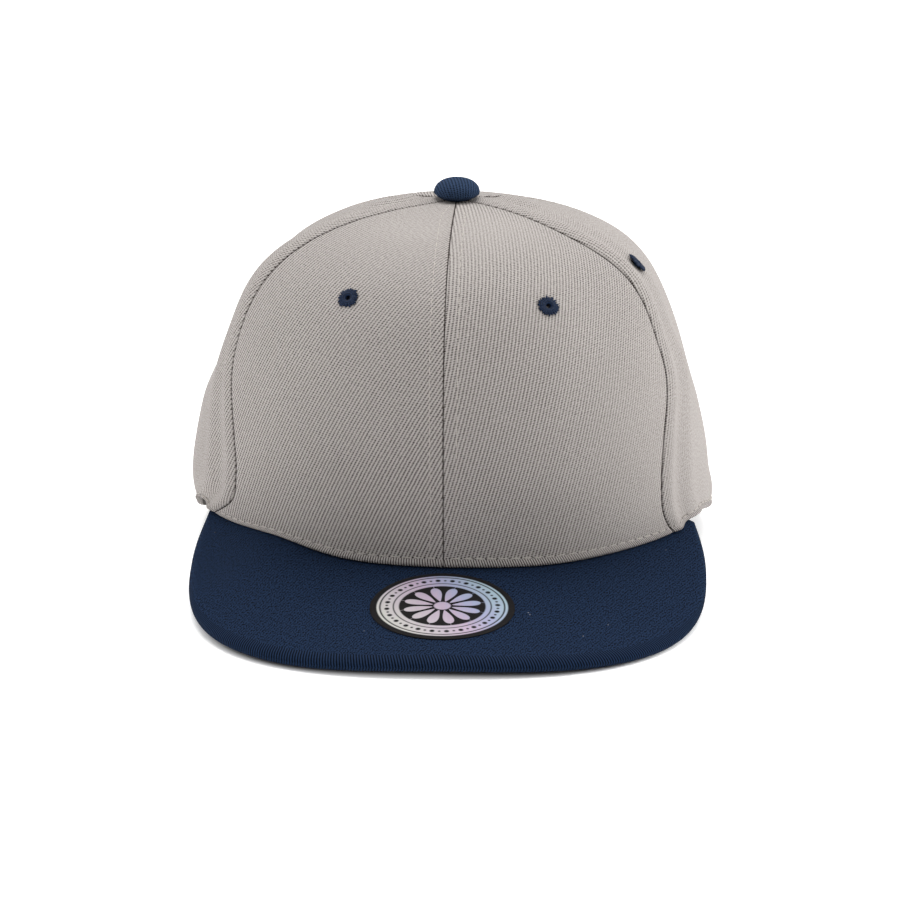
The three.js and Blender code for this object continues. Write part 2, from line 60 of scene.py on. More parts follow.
away = np.array([math.sin(AZIMUTH) * math.cos(ELEVATION),
                 -math.cos(AZIMUTH) * math.cos(ELEVATION),
                 math.sin(ELEVATION)])
camera_data = bpy.data.cameras.new("camera")
camera_data.lens, camera_data.sensor_width = LENS, SENSOR
camera_data.shift_x = (PICTURE / 2 - TARGET_PIXEL[0]) / PICTURE
camera_data.shift_y = (TARGET_PIXEL[1] - PICTURE / 2) / PICTURE
camera_data.clip_end = 50
camera = bpy.data.objects.new("camera", camera_data)
camera.location = TARGET + DISTANCE * away
camera.rotation_euler = (math.pi / 2 - ELEVATION, 0, AZIMUTH)
bpy.context.scene.collection.objects.link(camera)
bpy.context.scene.camera = camera
print("camera at", [round(c, 3) for c in camera.location])

# %% [markdown]
# ## Shader maths as plain expressions
# A cloth's pattern is a formula of its place, such as the sine of a distance. A small class
# wraps a socket, so that `1 - rib * 0.5` adds the Math nodes by itself. One method adds any
# other node: it takes the node's type, its settings, and the values or links of its sockets.

# %% Sockets that take part in sums
class Wire:
    """A socket of a material's node tree. Sums and products of wires add Math nodes."""

    def __init__(self, board, socket):
        self.board, self.socket = board, socket

    def math(self, operation, *others):
        return self.board.add("ShaderNodeMath", {"operation": operation}, self, *others)

    def __add__(self, other):
        return self.math("ADD", other)

    __radd__ = __add__

    def __mul__(self, other):
        return self.math("MULTIPLY", other)

    __rmul__ = __mul__

    def __sub__(self, other):
        return self.math("SUBTRACT", other)

    def __rsub__(self, other):
        return self.board.add("ShaderNodeMath", {"operation": "SUBTRACT"}, other, self)

    def __truediv__(self, other):
        return self.math("DIVIDE", other)

    def __pow__(self, other):
        return self.math("POWER", other)

    def part(self):
        return self.math("FRACT")

    def sine(self):
        return self.math("SINE")

    def cosine(self):
        return self.math("COSINE")

    def size(self):
        return self.math("ABSOLUTE")

    def least(self, other):
        return self.math("MINIMUM", other)

    def most(self, other):
        return self.math("MAXIMUM", other)

    def step(self, low, high, start=0.0, end=1.0):
        """Eases from start to end while the value goes from low to high."""
        return self.board.add("ShaderNodeMapRange", {"interpolation_type": "SMOOTHSTEP"},
                              self, low, high, start, end)


class Board:
    """A material's node tree, with its shader and its output in place."""

    def __init__(self, name, **constants):
        self.material = bpy.data.materials.new(name)
        self.material.use_nodes = True
        self.nodes, self.links = self.material.node_tree.nodes, self.material.node_tree.links
        self.shader = self.nodes["Principled BSDF"]
        for socket, value in constants.items():
            self.shader.inputs[socket.replace("_", " ")].default_value = value

    def add(self, kind, settings=None, *values, out=0, **links):
        """Adds a node, sets it up, and returns one of its outputs as a wire."""
        node = self.nodes.new(kind)
        for key, value in (settings or {}).items():
            setattr(node, key, value)
        for key, value in [*enumerate(values), *links.items()]:
            name = key if isinstance(key, int) else key.replace("_", " ")
            self.plug(node.inputs[name], value)
        return Wire(self, node.outputs[out])

    def plug(self, socket, value):
        """Links a wire to a socket, or sets the socket to a plain value."""
        if isinstance(value, Wire):
            self.links.new(value.socket, socket)
        else:
            socket.default_value = value

    def place(self, layer):
        """The three numbers of a mesh's layer, each as a wire."""
        vector = self.add("ShaderNodeAttribute", {"attribute_name": layer}, out="Vector")
        return [self.add("ShaderNodeSeparateXYZ", {}, vector, out=i) for i in range(3)]

    def vector(self, x, y):
        """A place on the flat cloth, as the one vector that a texture node wants."""
        return self.add("ShaderNodeCombineXYZ", {}, x, y)

    def mix(self, share, low, high):
        """A colour that goes from low to high. A colour's sockets are the Mix node's 6 and 7."""
        node = self.nodes.new("ShaderNodeMix")
        node.data_type = "RGBA"
        for index, value in ((0, share), (6, low), (7, high)):
            self.plug(node.inputs[index], value)
        return Wire(self, node.outputs[2])

    def noise(self, where, scale, detail):
        """Soft random patches from 0 to 1, about 1 / scale across."""
        return self.add("ShaderNodeTexNoise", {}, Vector=where, Scale=scale, Detail=detail)

    def finish(self, colour, roughness, relief, height):
        """Wires colour and roughness, and turns a relief of some millimetres into a Bump."""
        self.plug(self.shader.inputs["Base Color"], colour)
        self.plug(self.shader.inputs["Roughness"], roughness)
        bump = self.add("ShaderNodeBump", {}, Strength=1.0, Distance=height / 1000, Height=relief)
        self.plug(self.shader.inputs["Normal"], bump)
        return self.material


def srgb(red, green, blue):
    """A colour read off a screen, 0 to 255, as the linear light that a shader wants."""
    share = np.array([red, green, blue]) / 255
    linear = np.where(share <= 0.04045, share / 12.92, ((share + 0.055) / 1.055) ** 2.4)
    return (*map(float, linear), 1.0)


# %% [markdown]
# ## Grids that become meshes
# A cloth piece is a sheet with a front and a back. Both are grids of the same size, so a hole
# is a patch of cells left out of both, and wherever a kept cell meets a missing one, or the
# grid's end, a wall joins the two faces. This closes every edge with one rule.

# %% From points to a piece
def mesh_piece(name, points, faces, material, layers=None, weld=False):
    """Makes an object of points in mm round the crown's axis, and attaches it to its body.

    points is (n, 3), faces is (m, 4), and layers are values per point, by name. Welding joins
    the points that fall together at poles and tips.
    """
    points = (np.asarray(points, float) + CROWN_AXIS) / 1000
    faces = np.asarray(faces, np.int32)
    mesh = bpy.data.meshes.new(name)
    mesh.vertices.add(len(points))
    mesh.vertices.foreach_set("co", points.astype(np.float32).ravel())
    mesh.loops.add(faces.size)
    mesh.loops.foreach_set("vertex_index", faces.ravel())
    mesh.polygons.add(len(faces))
    mesh.polygons.foreach_set("loop_start", np.arange(len(faces), dtype=np.int32) * faces.shape[1])
    mesh.polygons.foreach_set("use_smooth", np.ones(len(faces), bool))
    for layer, values in (layers or {}).items():
        attribute = mesh.attributes.new(layer, "FLOAT_VECTOR", "POINT")
        padded = np.zeros((len(points), 3), np.float32)
        padded[:, :np.shape(values)[1]] = values
        attribute.data.foreach_set("vector", padded.ravel())
    mesh.update(calc_edges=True)
    if weld:
        shape = bmesh.new()
        shape.from_mesh(mesh)
        bmesh.ops.remove_doubles(shape, verts=shape.verts, dist=1e-6)
        shape.to_mesh(mesh)
        shape.free()
    mesh.validate()
    piece = bpy.data.objects.new(name, mesh)
    bpy.context.scene.collection.objects.link(piece)
    mesh.materials.append(material)
    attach(piece, "root")
    return piece


# %% Quads of a grid, and of a sheet with two faces
def grid_faces(rows, columns, wrap=False):
    """Quads of a grid numbered row by row. Where wrap is true the last column meets the first."""
    i, j = np.meshgrid(np.arange(rows - 1), np.arange(columns if wrap else columns - 1),
                       indexing="ij")
    after = (j + 1) % columns
    return np.stack([i * columns + j, i * columns + after,
                     (i + 1) * columns + after, (i + 1) * columns + j], -1).reshape(-1, 4)


def two_faced(front, back, keep):
    """Points and quads of a closed sheet from two (rows, columns, 3) grids and a mask of cells.

    The front's cells run one way round and the back's the other. A wall stands where keep
    changes from one cell to the next, along rows and along columns.
    """
    rows, columns = front.shape[:2]
    number = np.arange(rows * columns).reshape(rows, columns)
    under = number + rows * columns
    i, j = np.nonzero(keep)
    front_quads = np.stack([number[i, j], number[i, j + 1], number[i + 1, j + 1],
                            number[i + 1, j]], -1)
    back_quads = front_quads[:, ::-1] + rows * columns
    ringed = np.pad(keep, 1).astype(int)
    walls = []
    change = ringed[1:, 1:-1] - ringed[:-1, 1:-1]
    for sign in (1, -1):
        i, j = np.nonzero(change == sign)
        wall = np.stack([number[i, j + 1], number[i, j], under[i, j], under[i, j + 1]], -1)
        walls.append(wall[:, ::sign])
    change = ringed[1:-1, 1:] - ringed[1:-1, :-1]
    for sign in (1, -1):
        i, j = np.nonzero(change == sign)
        wall = np.stack([number[i, j], number[i + 1, j], under[i + 1, j], under[i, j]], -1)
        walls.append(wall[:, ::sign])
    points = np.concatenate([front.reshape(-1, 3), back.reshape(-1, 3)])
    faces = np.concatenate([front_quads, back_quads, *walls])
    return points, faces


def used_only(points, faces, *layers):
    """Drops the points that no face uses, and their rows in each layer."""
    used = np.unique(faces)
    renumber = np.full(len(points), -1)
    renumber[used] = np.arange(len(used))
    return points[used], renumber[faces], [layer[used] for layer in layers]


# %% Lengths along a grid
def lengths_along(points, axis):
    """Distance run along one axis of a grid of points, from its first row or column."""
    steps = np.linalg.norm(np.diff(points, axis=axis), axis=-1)
    start = np.zeros_like(np.take(steps, [0], axis=axis))
    return np.concatenate([start, np.cumsum(steps, axis=axis)], axis=axis)


def evenly(line, count):
    """Points spaced evenly along a line of points."""
    run = lengths_along(line, 0)
    wanted = np.linspace(0, run[-1], count)
    return np.stack([np.interp(wanted, run, line[:, k]) for k in range(line.shape[1])], -1)


# %% [markdown]
# ## The crown's face
# The six panels share one face, as if the crown were blown like a balloon: an oval in plan, a
# wall that stands nearly upright, and a rounded shoulder above it, boxier in front where the
# panels are stiff. The soft side panels sink in and swell out by the table of dents, which are
# bells of Gauss. The solids follow the same formulas, so each piece sits where its solid does.

# %% Sizes of the crown and the brim
CROWN_WIDTH, FRONT_REACH, BACK_REACH = 192.0, 95.0, 91.0
CROWN_HEIGHT, STRAIGHT_HEIGHT, HEM_TUCK = 129.5, 50.0, 0.02
FRONT_ROUND, BACK_ROUND = 2.0, 2.25
CLOTH, TIP_RADIUS = 1.7, 3.0
FRONT_SEAM, BACK_SEAM = 57.0, 118.0
BRIM_LENGTH, BRIM_WIDTH, BRIM_NOSE, BRIM_ROUND = 73.2, 189.0, 94.0, 2.65
BRIM_SLOPE, BRIM_ARCH, BRIM_THICKNESS = math.radians(7.5), 580.0, 4.4
BRIM_ASIDE, BRIM_SKEW = 2.5, 2.8
BRIM_CORNER, CORNER_OVERHANG = 70.0, 1.5
HEM_TURN, HEM_FLAT_FROM, HEM_CURVE, GAP = 76.0, 55.0, (2.6, 1.3), 0.3

FULLNESS = np.array([(0, 3.2), (57, 3.0), (92, 1.95), (135, 1.9), (180, 1.9)])
DENTS = np.array([
    # azimuth, height share, spread in degrees, tall share, push in mm
    (-103, 0.86, 32, 0.13, 1.9),    # left shoulder
    (105, 0.84, 30, 0.13, 3.6),     # right shoulder
    (-75, 0.72, 26, 0.12, -1.7),    # left corner
    (75, 0.72, 26, 0.12, -4.6),     # right corner
    (-98, 0.60, 30, 0.17, -6.0),    # left waist
    (98, 0.50, 30, 0.20, -7.1),     # right waist
    (-95, 0.14, 30, 0.20, 5.0),     # left hem
    (-93, 0.09, 25, 0.05, -1.5),    # left edge
    (97, 0.12, 20, 0.05, 1.7),      # right edge
    (20, 0.25, 13, 0.09, -1.2),     # over the brim
    (42, 0.74, 9, 0.16, -1.0),      # beside the right eyelet
])
BRIM_SWELLS = np.array([
    # share of half the brim's width, spread in the same shares, slope added
    (-0.67, 0.2, 0.038), (0.42, 0.25, -0.012), (0.95, 0.2, -0.013),
])
SEAM_SWAY = np.array([
    # share of the way up, then degrees outwards of the left and the right front seam
    (0.0, 8.7, 3.4), (0.08, 0.6, -0.4), (0.2, -1.8, -1.7), (0.33, -0.9, -0.9),
    (0.5, 3.3, 2.5), (0.65, 1.7, 0.4), (0.8, -0.2, -4.8), (1.0, -3.2, 0.5),
])
print("crown", CROWN_WIDTH, "mm wide and", CROWN_HEIGHT, "high, with", len(DENTS), "dents")


# %% The crown in plan
def plan_reach(azimuth):
    """Distance from the axis: a superellipse, (|sin/96|^p + |cos/reach|^p)^(-1/p)."""
    across, along = np.sin(np.radians(azimuth)), np.cos(np.radians(azimuth))
    reach = np.where(along > 0, FRONT_REACH, BACK_REACH)
    power = np.where(along > 0, FRONT_ROUND, BACK_ROUND)
    total = np.abs(across / (CROWN_WIDTH / 2)) ** power + np.abs(along / reach) ** power
    return total ** (-1 / power)


def turned(azimuth):
    """An azimuth brought between -180 and 180 degrees."""
    return (np.asarray(azimuth) + 540) % 360 - 180


def in_plan(azimuth, reach):
    """x and y of a point at an azimuth, measured from the front towards +X."""
    return reach * np.sin(np.radians(azimuth)), -reach * np.cos(np.radians(azimuth))


print("reach at the front, the side and the back:", plan_reach(np.array([0.0, 90.0, 180.0])))


# %% Reading a table
def eased(value, rows):
    """Reads a table of (place, value) rows, eased between them: t * t * (3 - 2 * t)."""
    after = np.clip(np.searchsorted(rows[:, 0], value), 1, len(rows) - 1)
    low, high = rows[after - 1], rows[after]
    t = np.clip((value - low[..., 0]) / (high[..., 0] - low[..., 0]), 0, 1)
    return low[..., 1] + (high[..., 1] - low[..., 1]) * t * t * (3 - 2 * t)


def rounded(value, places, heights):
    """A curve through a table's rows, smooth at each: cubics whose slopes are those of the rows.

    With t from 0 to 1 between two rows, h = h0 (2t^3 - 3t^2 + 1) + h1 (3t^2 - 2t^3)
    + d (t^3 - 2t^2 + t) s0 + d (t^3 - t^2) s1, where d is their distance and s the slopes.
    """
    slopes = np.gradient(heights, places)
    after = np.clip(np.searchsorted(places, value), 1, len(places) - 1)
    low, width = after - 1, places[after] - places[after - 1]
    t = (value - places[low]) / width
    from_low, from_high = 2 * t ** 3 - 3 * t ** 2 + 1, 3 * t ** 2 - 2 * t ** 3
    low_slope, high_slope = t ** 3 - 2 * t ** 2 + t, t ** 3 - t ** 2
    return (heights[low] * from_low + heights[after] * from_high
            + width * low_slope * slopes[low] + width * high_slope * slopes[after])


def swayed(azimuth, share):
    """Moves an azimuth with the front seam on its side: wholly there, not at the next seams."""
    away = np.abs(azimuth)
    fade = np.minimum(away / FRONT_SEAM, (BACK_SEAM - away) / (BACK_SEAM - FRONT_SEAM))
    left, right = [rounded(share, SEAM_SWAY[:, 0], SEAM_SWAY[:, k]) for k in (1, 2)]
    sway = np.where(azimuth < 0, left, right) * np.clip(fade, 0, None)
    return azimuth + np.sign(azimuth) * sway


print("the left front seam's foot:", swayed(np.array([-FRONT_SEAM]), np.array([0.0])), "degrees")

# %% [markdown]
# ## Where the brim and the hem run
# The crown's front hem sits on the brim, so the brim's height comes before the crown's face. The
# brim slopes down to its front edge and arches a little from side to side. Behind its corners
# the hem falls to the table.

# %% Height and outline of the brim
BRIM_FRONT = -FRONT_REACH - BRIM_LENGTH * math.cos(BRIM_SLOPE)


def brim_rise(x, y):
    """Height of the brim: (y - front) * (tan(slope) + swells) - x^2 / (2 * arch)."""
    aside = (np.asarray(x)[..., None] / (BRIM_WIDTH / 2) - BRIM_SWELLS[:, 0]) / BRIM_SWELLS[:, 1]
    rise = math.tan(BRIM_SLOPE) + (BRIM_SWELLS[:, 2] * np.exp(-aside ** 2)).sum(-1)
    return (y - BRIM_FRONT) * rise - x ** 2 / (2 * BRIM_ARCH)


def brim_outline(count):
    """Outline in plan from the left corner round the front to the right, as (count, 2) points.

    In front x = a * sin^(2/n) t and y = front + b * (1 - cos^(2/n) t). Behind the widest place
    x follows a parabola to the corner. The front is shifted and skewed a little to the right.
    """
    turn = np.linspace(0, np.pi / 2, 240)
    nose = np.stack([BRIM_WIDTH / 2 * np.sin(turn) ** (2 / BRIM_ROUND),
                     BRIM_FRONT + BRIM_NOSE * (1 - np.cos(turn) ** (2 / BRIM_ROUND))], -1)
    reach = plan_reach(BRIM_CORNER) * (1 - HEM_TUCK / 2) + CORNER_OVERHANG
    corner = np.array(in_plan(BRIM_CORNER, reach))
    share = np.linspace(0, 1, 60)[1:, None]
    sides = np.hstack([nose[-1, 0] + (corner[0] - nose[-1, 0]) * share ** 2,
                       nose[-1, 1] + (corner[1] - nose[-1, 1]) * share])
    half = np.vstack([nose, sides])
    line = np.vstack([half[:0:-1] * (-1, 1), half])
    ahead = np.clip((corner[1] - line[:, 1]) / (corner[1] - BRIM_FRONT), 0, 1)
    back = BRIM_SKEW * ahead * line[:, 0] / (BRIM_WIDTH / 2)
    return evenly(line + np.stack([BRIM_ASIDE * ahead, back], -1), count)


LOWEST = brim_rise(*brim_outline(400).T).min()


def brim_top(x, y):
    """Height of the brim's upper face when its lowest point is on the table."""
    return BRIM_THICKNESS - LOWEST + brim_rise(x, y)


print("the brim's front edge at y =", round(BRIM_FRONT, 1), "lowest", round(float(LOWEST), 1))

# %% Height of the hem
TURN_PLACE = in_plan(HEM_TURN, plan_reach(HEM_TURN) * (1 - HEM_TUCK / 2))


def hem_height(x, y):
    """Height of the crown's lower edge: on the brim in front, then down to the table."""
    rise = np.clip((HEM_FLAT_FROM - y) / (HEM_FLAT_FROM - TURN_PLACE[1]), 0, 1)
    turn_height = brim_top(np.sign(x) * TURN_PLACE[0], TURN_PLACE[1]) + GAP
    fall = turn_height * rise ** np.where(x < 0, *HEM_CURVE)
    return np.where(y < TURN_PLACE[1], brim_top(x, y) + GAP, fall)


print("the hem's height in front:", round(float(hem_height(0.0, -FRONT_REACH)), 1))

# %% The crown's face
ROUND_HEIGHT = CROWN_HEIGHT - STRAIGHT_HEIGHT
WALL_SHARE = STRAIGHT_HEIGHT / (STRAIGHT_HEIGHT + 1.3 * ROUND_HEIGHT)
TIP_SHARE = 1 - (TIP_RADIUS / FRONT_REACH) * (1 - WALL_SHARE) / (np.pi / 2)


def crown_face(azimuth, share):
    """Points of the crown's face. The share goes from 0 at the hem to 1 at the top.

    The wall's height runs evenly to 50 mm. Above it a turn t goes from 0 to 90 degrees and
    reach = plan * cos t * s, height = 50 + 79.5 * sin t * s, s = (cos^n t + sin^n t)^(-1/n).
    """
    plan, power = plan_reach(azimuth), eased(np.abs(turned(azimuth)), FULLNESS)
    t = np.clip((share - WALL_SHARE) / (1 - WALL_SHARE), 0, 1) * np.pi / 2
    cos, sin = np.clip(np.cos(t), 0, 1), np.sin(t)
    stretch = (cos ** power + sin ** power) ** (-1 / power)
    hem = hem_height(*in_plan(azimuth, plan))
    low = share < WALL_SHARE
    height = np.where(low, hem + (STRAIGHT_HEIGHT - hem) * share / WALL_SHARE,
                      STRAIGHT_HEIGHT + ROUND_HEIGHT * sin * stretch)
    tuck = 1 - HEM_TUCK * np.clip(1 - height / STRAIGHT_HEIGHT, 0, 1) ** 2
    reach = plan * np.where(low, tuck, cos * stretch)
    x, y = in_plan(azimuth, reach)
    outwards = np.stack([x / (CROWN_WIDTH / 2) ** 2, y / FRONT_REACH ** 2,
                         np.clip(height - STRAIGHT_HEIGHT, 0, None) / ROUND_HEIGHT ** 2], -1)
    outwards /= np.linalg.norm(outwards, axis=-1, keepdims=True)
    aside = turned(azimuth[..., None] - DENTS[:, 0]) / DENTS[:, 2]
    above = (height[..., None] / CROWN_HEIGHT - DENTS[:, 1]) / DENTS[:, 3]
    push = (DENTS[:, 4] * np.exp(-aside ** 2 - above ** 2)).sum(-1)
    push *= np.minimum(1, reach / (CROWN_WIDTH / 8))
    return np.stack([x, y, height], -1) + outwards * push[..., None]


def crown_normal(azimuth, share):
    """Outward direction of the face, from the cross product of its two small steps."""
    low = np.clip(share - 0.002, 0, None)
    along = crown_face(azimuth + 0.2, share) - crown_face(azimuth - 0.2, share)
    up = crown_face(azimuth, low + 0.004) - crown_face(azimuth, low)
    normal = np.cross(along, up)
    normal[..., 2] *= np.clip(2 * share / WALL_SHARE, 0, 1)
    return normal / np.linalg.norm(normal, axis=-1, keepdims=True)


def share_at(azimuth, height):
    """Share of the way up at which the face has a given height, dents apart."""
    power = eased(np.abs(turned(azimuth)), FULLNESS)
    rise = np.clip((height - STRAIGHT_HEIGHT) / ROUND_HEIGHT, 0, 1)
    turn = np.arctan2(rise, (1 - rise ** power) ** (1 / power))
    hem = hem_height(*in_plan(azimuth, plan_reach(azimuth)))
    low = WALL_SHARE * (height - hem) / (STRAIGHT_HEIGHT - hem)
    return np.where(height < STRAIGHT_HEIGHT, low,
                    WALL_SHARE + (1 - WALL_SHARE) * turn / (np.pi / 2))


top = crown_face(np.array([0.0]), np.array([TIP_SHARE]))[0]
print("crown's tip at", np.round(top, 1))

# %% [markdown]
# ## Twill, by formula
# Twill is a weave whose threads float over two and under one, a step further in each row, so
# that it shows slanting ribs. Each cloth piece carries a layer named weave, with its place on
# the flat cloth in millimetres. Across the ribs the sum u * cos - v * sin repeats at each rib,
# and the grooves between them are painted darker, as shade, in rows of small dark dots, one
# where each thread dives under.
# Drawing it this way, and not as an image, keeps it sharp and lets one formula serve the crown,
# the brim and the button.

# %% The weave
SLOW_DRIFT, FINE_DRIFT = 0.3, 0.2    # how far ribs stray, as a share of their pitch


def twill(board, u, v, lean, pitch, bead, tilt, plain):
    """Relief of ribs that lean clockwise from v, and the painted shade of their grooves.

    With f the place across one rib, groove = (0.5 + 0.5 cos 2 pi f)^1.3. The weft runs under
    the ribs at a small tilt, and its dots are (0.5 + 0.5 sin)^1.2, deeper in some patches.
    The more plain the grooves are, the less the dots break them up.
    """
    place = board.vector(u, v)
    drift = (board.noise(place, 0.09, 2.0) - 0.5) * SLOW_DRIFT
    fine = (board.noise(place, 0.9, 1.0) - 0.5) * FINE_DRIFT
    across = u * (math.cos(lean) / pitch) - v * (math.sin(lean) / pitch) + drift + fine
    weft = v * (1 / bead) + u * (tilt / bead) + drift * 0.5
    groove = ((across * (2 * math.pi)).cosine() * 0.5 + 0.5) ** 1.3
    dot = ((weft * (2 * math.pi)).sine() * 0.5 + 0.5) ** 1.2
    depth = board.noise(place, 0.7, 1.0) * 1.2 + 0.4
    # painted shade: how far the grooves and the weft's dots take the colour towards dark
    dark = groove * (dot * depth * (1.25 - plain) + plain) + dot * (0.3 - 0.5 * plain)
    relief = (1 - groove) * 0.6 + (1 - groove) * (1 - dot) * 0.3 - groove * dot * 0.45
    return relief, dark


# %% Cloth made of it
STITCH_PITCH = 4.4
STITCH_SHADE = 0.75        # how far the painted shade in a needle hole takes the cloth to its darkest
FADED_RIBS_LEVEL = 0.3           # an even share towards dark where the painted groove shade fades out
ROLL_SLANT = 0.22          # how far the ribs of a rolled edge lean


def twill_cloth(name, light, dark, lean=0.0, pitch=1.34, bead=0.88, tilt=0.2, plain=0.3,
                height=0.1, contrast=0.8, lint=0.0, grain=(1.4, 1.0, 0.8), sewn=False,
                roll=0.95, **constants):
    """Cloth of twill between two colours, with patches, painted groove shade, rolled edges, seams
    and lint.

    On sewn cloth the weave layer's third number says how deep the ribs and their painted groove
    shade show there. The grain is noise of a scale, squashed along v, that takes a share of the
    way to dark. The layer named stitching gives the run along the edge, the distance from the row
    of stitches or from where the edge starts to roll, and the distance from the nearest seam,
    within which the cloth is painted darker as the shade in the seam's groove.
    """
    board = Board(name, **constants)
    u, v, shown = board.place("weave")
    run, away, seam = board.place("stitching")
    relief, groove = twill(board, u, v, lean, pitch, bead, tilt, plain)
    place = board.vector(u, v)
    patches = board.noise(place, 0.035, 3.0) - 0.5
    scale, squash, speckle = grain
    grain = board.noise(board.vector(u, v * squash), scale, 1.0) - 0.5
    if sewn:
        # where the ribs show less, their painted groove shade gives way to an even share
        groove, relief = groove * shown + (1 - shown) * FADED_RIBS_LEVEL, relief * shown
    # the share of the way to dark: painted shade in the grooves, with random grain and patches
    share = groove * contrast + grain * speckle + patches * 0.10

    # on a rolled edge the grooves between the ribs are painted darker, as shade, and the band is
    # shifted paler by a fixed share
    rib = (((run * (1 / roll) + away * ROLL_SLANT) * (2 * math.pi)).sine() * 0.5 + 0.5) ** 1.3
    rolled_over = away.step(-0.7, -0.2, 1, 0)
    paler = 0.24 if sewn else 0.12
    share = share + (rib * 1.3 - paler + grain * 0.6 - share) * rolled_over
    relief = relief + ((1 - rib) * 0.9 - relief) * rolled_over
    if sewn:
        # painted shade: the cloth darkens within 0.6 mm of a seam, as the shade in its groove
        share = share + seam.step(0.0, 0.6, 0.8, 0)
    colour = board.mix(share.most(0).least(1), light, dark)

    if sewn:
        # painted shade: each needle hole of the hem's row is painted dark, as the shade inside it
        from_hole = (((run / STITCH_PITCH).part() - 0.5) * STITCH_PITCH) ** 2 + away ** 2
        hole = from_hole.step(0.03, 0.2, 1, 0)
        darkest = (*(0.3 * channel for channel in dark[:3]), 1.0)
        colour = board.mix(hole * STITCH_SHADE, colour, darkest)
        relief = relief - hole
    if lint:
        speck = board.add("ShaderNodeTexVoronoi", {"feature": "F1"}, Vector=place, Scale=0.16,
                          out="Distance")
        rare = board.noise(place, 0.22, 0.0)
        mask = speck.step(0.03, 0.055, 1, 0) * rare.step(0.60, 0.64)
        colour = board.mix(mask * lint, colour, srgb(150, 150, 156))
    return board.finish(colour, 0.88 + grain * 0.1, relief, height)


# %% [markdown]
# ## The four cloths
# The left and the right half of the crown are cut from the same grey twill, but its ribs run
# differently to the eye on each, so each half has its own pitch and weft. The brim's cloth is
# finer and mostly grain, with a little lint, and the button's is stretched and a shade lighter.

# %% Four cloths
# each cloth's dark colour is where its painted groove shade and its grain lead
GREY_LIGHT, GREY_DARK = srgb(186, 180, 176), srgb(54, 46, 42)
NAVY_LIGHT, NAVY_DARK = srgb(28, 45, 71), srgb(1, 3, 8)
BUTTON_LIGHT, BUTTON_DARK = srgb(50, 68, 96), srgb(5, 10, 18)
grey_left = twill_cloth("grey_twill_left", GREY_LIGHT, GREY_DARK, pitch=1.40, bead=0.80,
                        tilt=0.15, plain=0.5, sewn=True, Specular_IOR_Level=0.2)
grey_right = twill_cloth("grey_twill_right", GREY_LIGHT, GREY_DARK, pitch=1.32, bead=0.90,
                         tilt=-0.21, sewn=True, Specular_IOR_Level=0.2)
navy = twill_cloth("navy_brim_cloth", NAVY_LIGHT, NAVY_DARK, math.radians(24), pitch=1.1,
                   bead=0.8, contrast=0.72, lint=0.6, grain=(2.3, 0.42, 4.6), height=0.035,
                   roll=1.05, Specular_IOR_Level=0.06)
navy_button = twill_cloth("navy_button_cloth", BUTTON_LIGHT, BUTTON_DARK, math.radians(-12),
                          pitch=1.2, bead=0.8, height=0.14, contrast=0.9,
                          Specular_IOR_Level=0.1)
print("cloths:", [material.name for material in (grey_left, grey_right, navy, navy_button)])


# %% Thread
def thread(name, light, dark):
    """Sewing thread: two plies wound round each other, which show as slanting bands."""
    board = Board(name, Specular_IOR_Level=0.25)
    along, round_it, _ = board.place("weave")
    ply = ((along * 1.6 + round_it) * (2 * math.pi)).sine() * 0.5 + 0.5
    colour = board.mix(ply, dark, light)
    return board.finish(colour, 0.7 - ply * 0.1, ply, 0.05)


grey_thread = thread("grey_stitches", srgb(212, 206, 198), srgb(168, 160, 154))
navy_thread = thread("navy_stitches", srgb(17, 42, 76), srgb(5, 15, 31))
print("threads:", grey_thread.name, navy_thread.name)

# %% [markdown]
# ## Plastic and foil
# The strap is moulded plastic, satin, with a fine grain from its mould. The sticker is silver
# foil, printed in black, whose colour turns from grey over lilac to pale blue, a painted
# rainbow reflection. Its figures are formulas of the radius and the angle on the disc.

# %% Plastic
def moulded(name):
    """Satin plastic with a fine grain and faint scuffs."""
    board = Board(name)
    u, v, _ = board.place("weave")
    place = board.vector(u, v)
    grain, scuff = board.noise(place, 1.8, 3.0), board.noise(place, 0.12, 4.0)
    colour = board.mix(scuff.step(0.35, 0.75), srgb(17, 26, 44), srgb(25, 36, 57))
    return board.finish(colour, 0.38 + grain * 0.12 + scuff * 0.1, grain, 0.02)


plastic = moulded("strap_plastic")
print("plastic:", plastic.name)

# %% Printed foil
PETALS, DOTS, DOT_RING = 12, 24, 0.766
INK_EDGE = 0.012           # half the width over which the ink's edge is soft


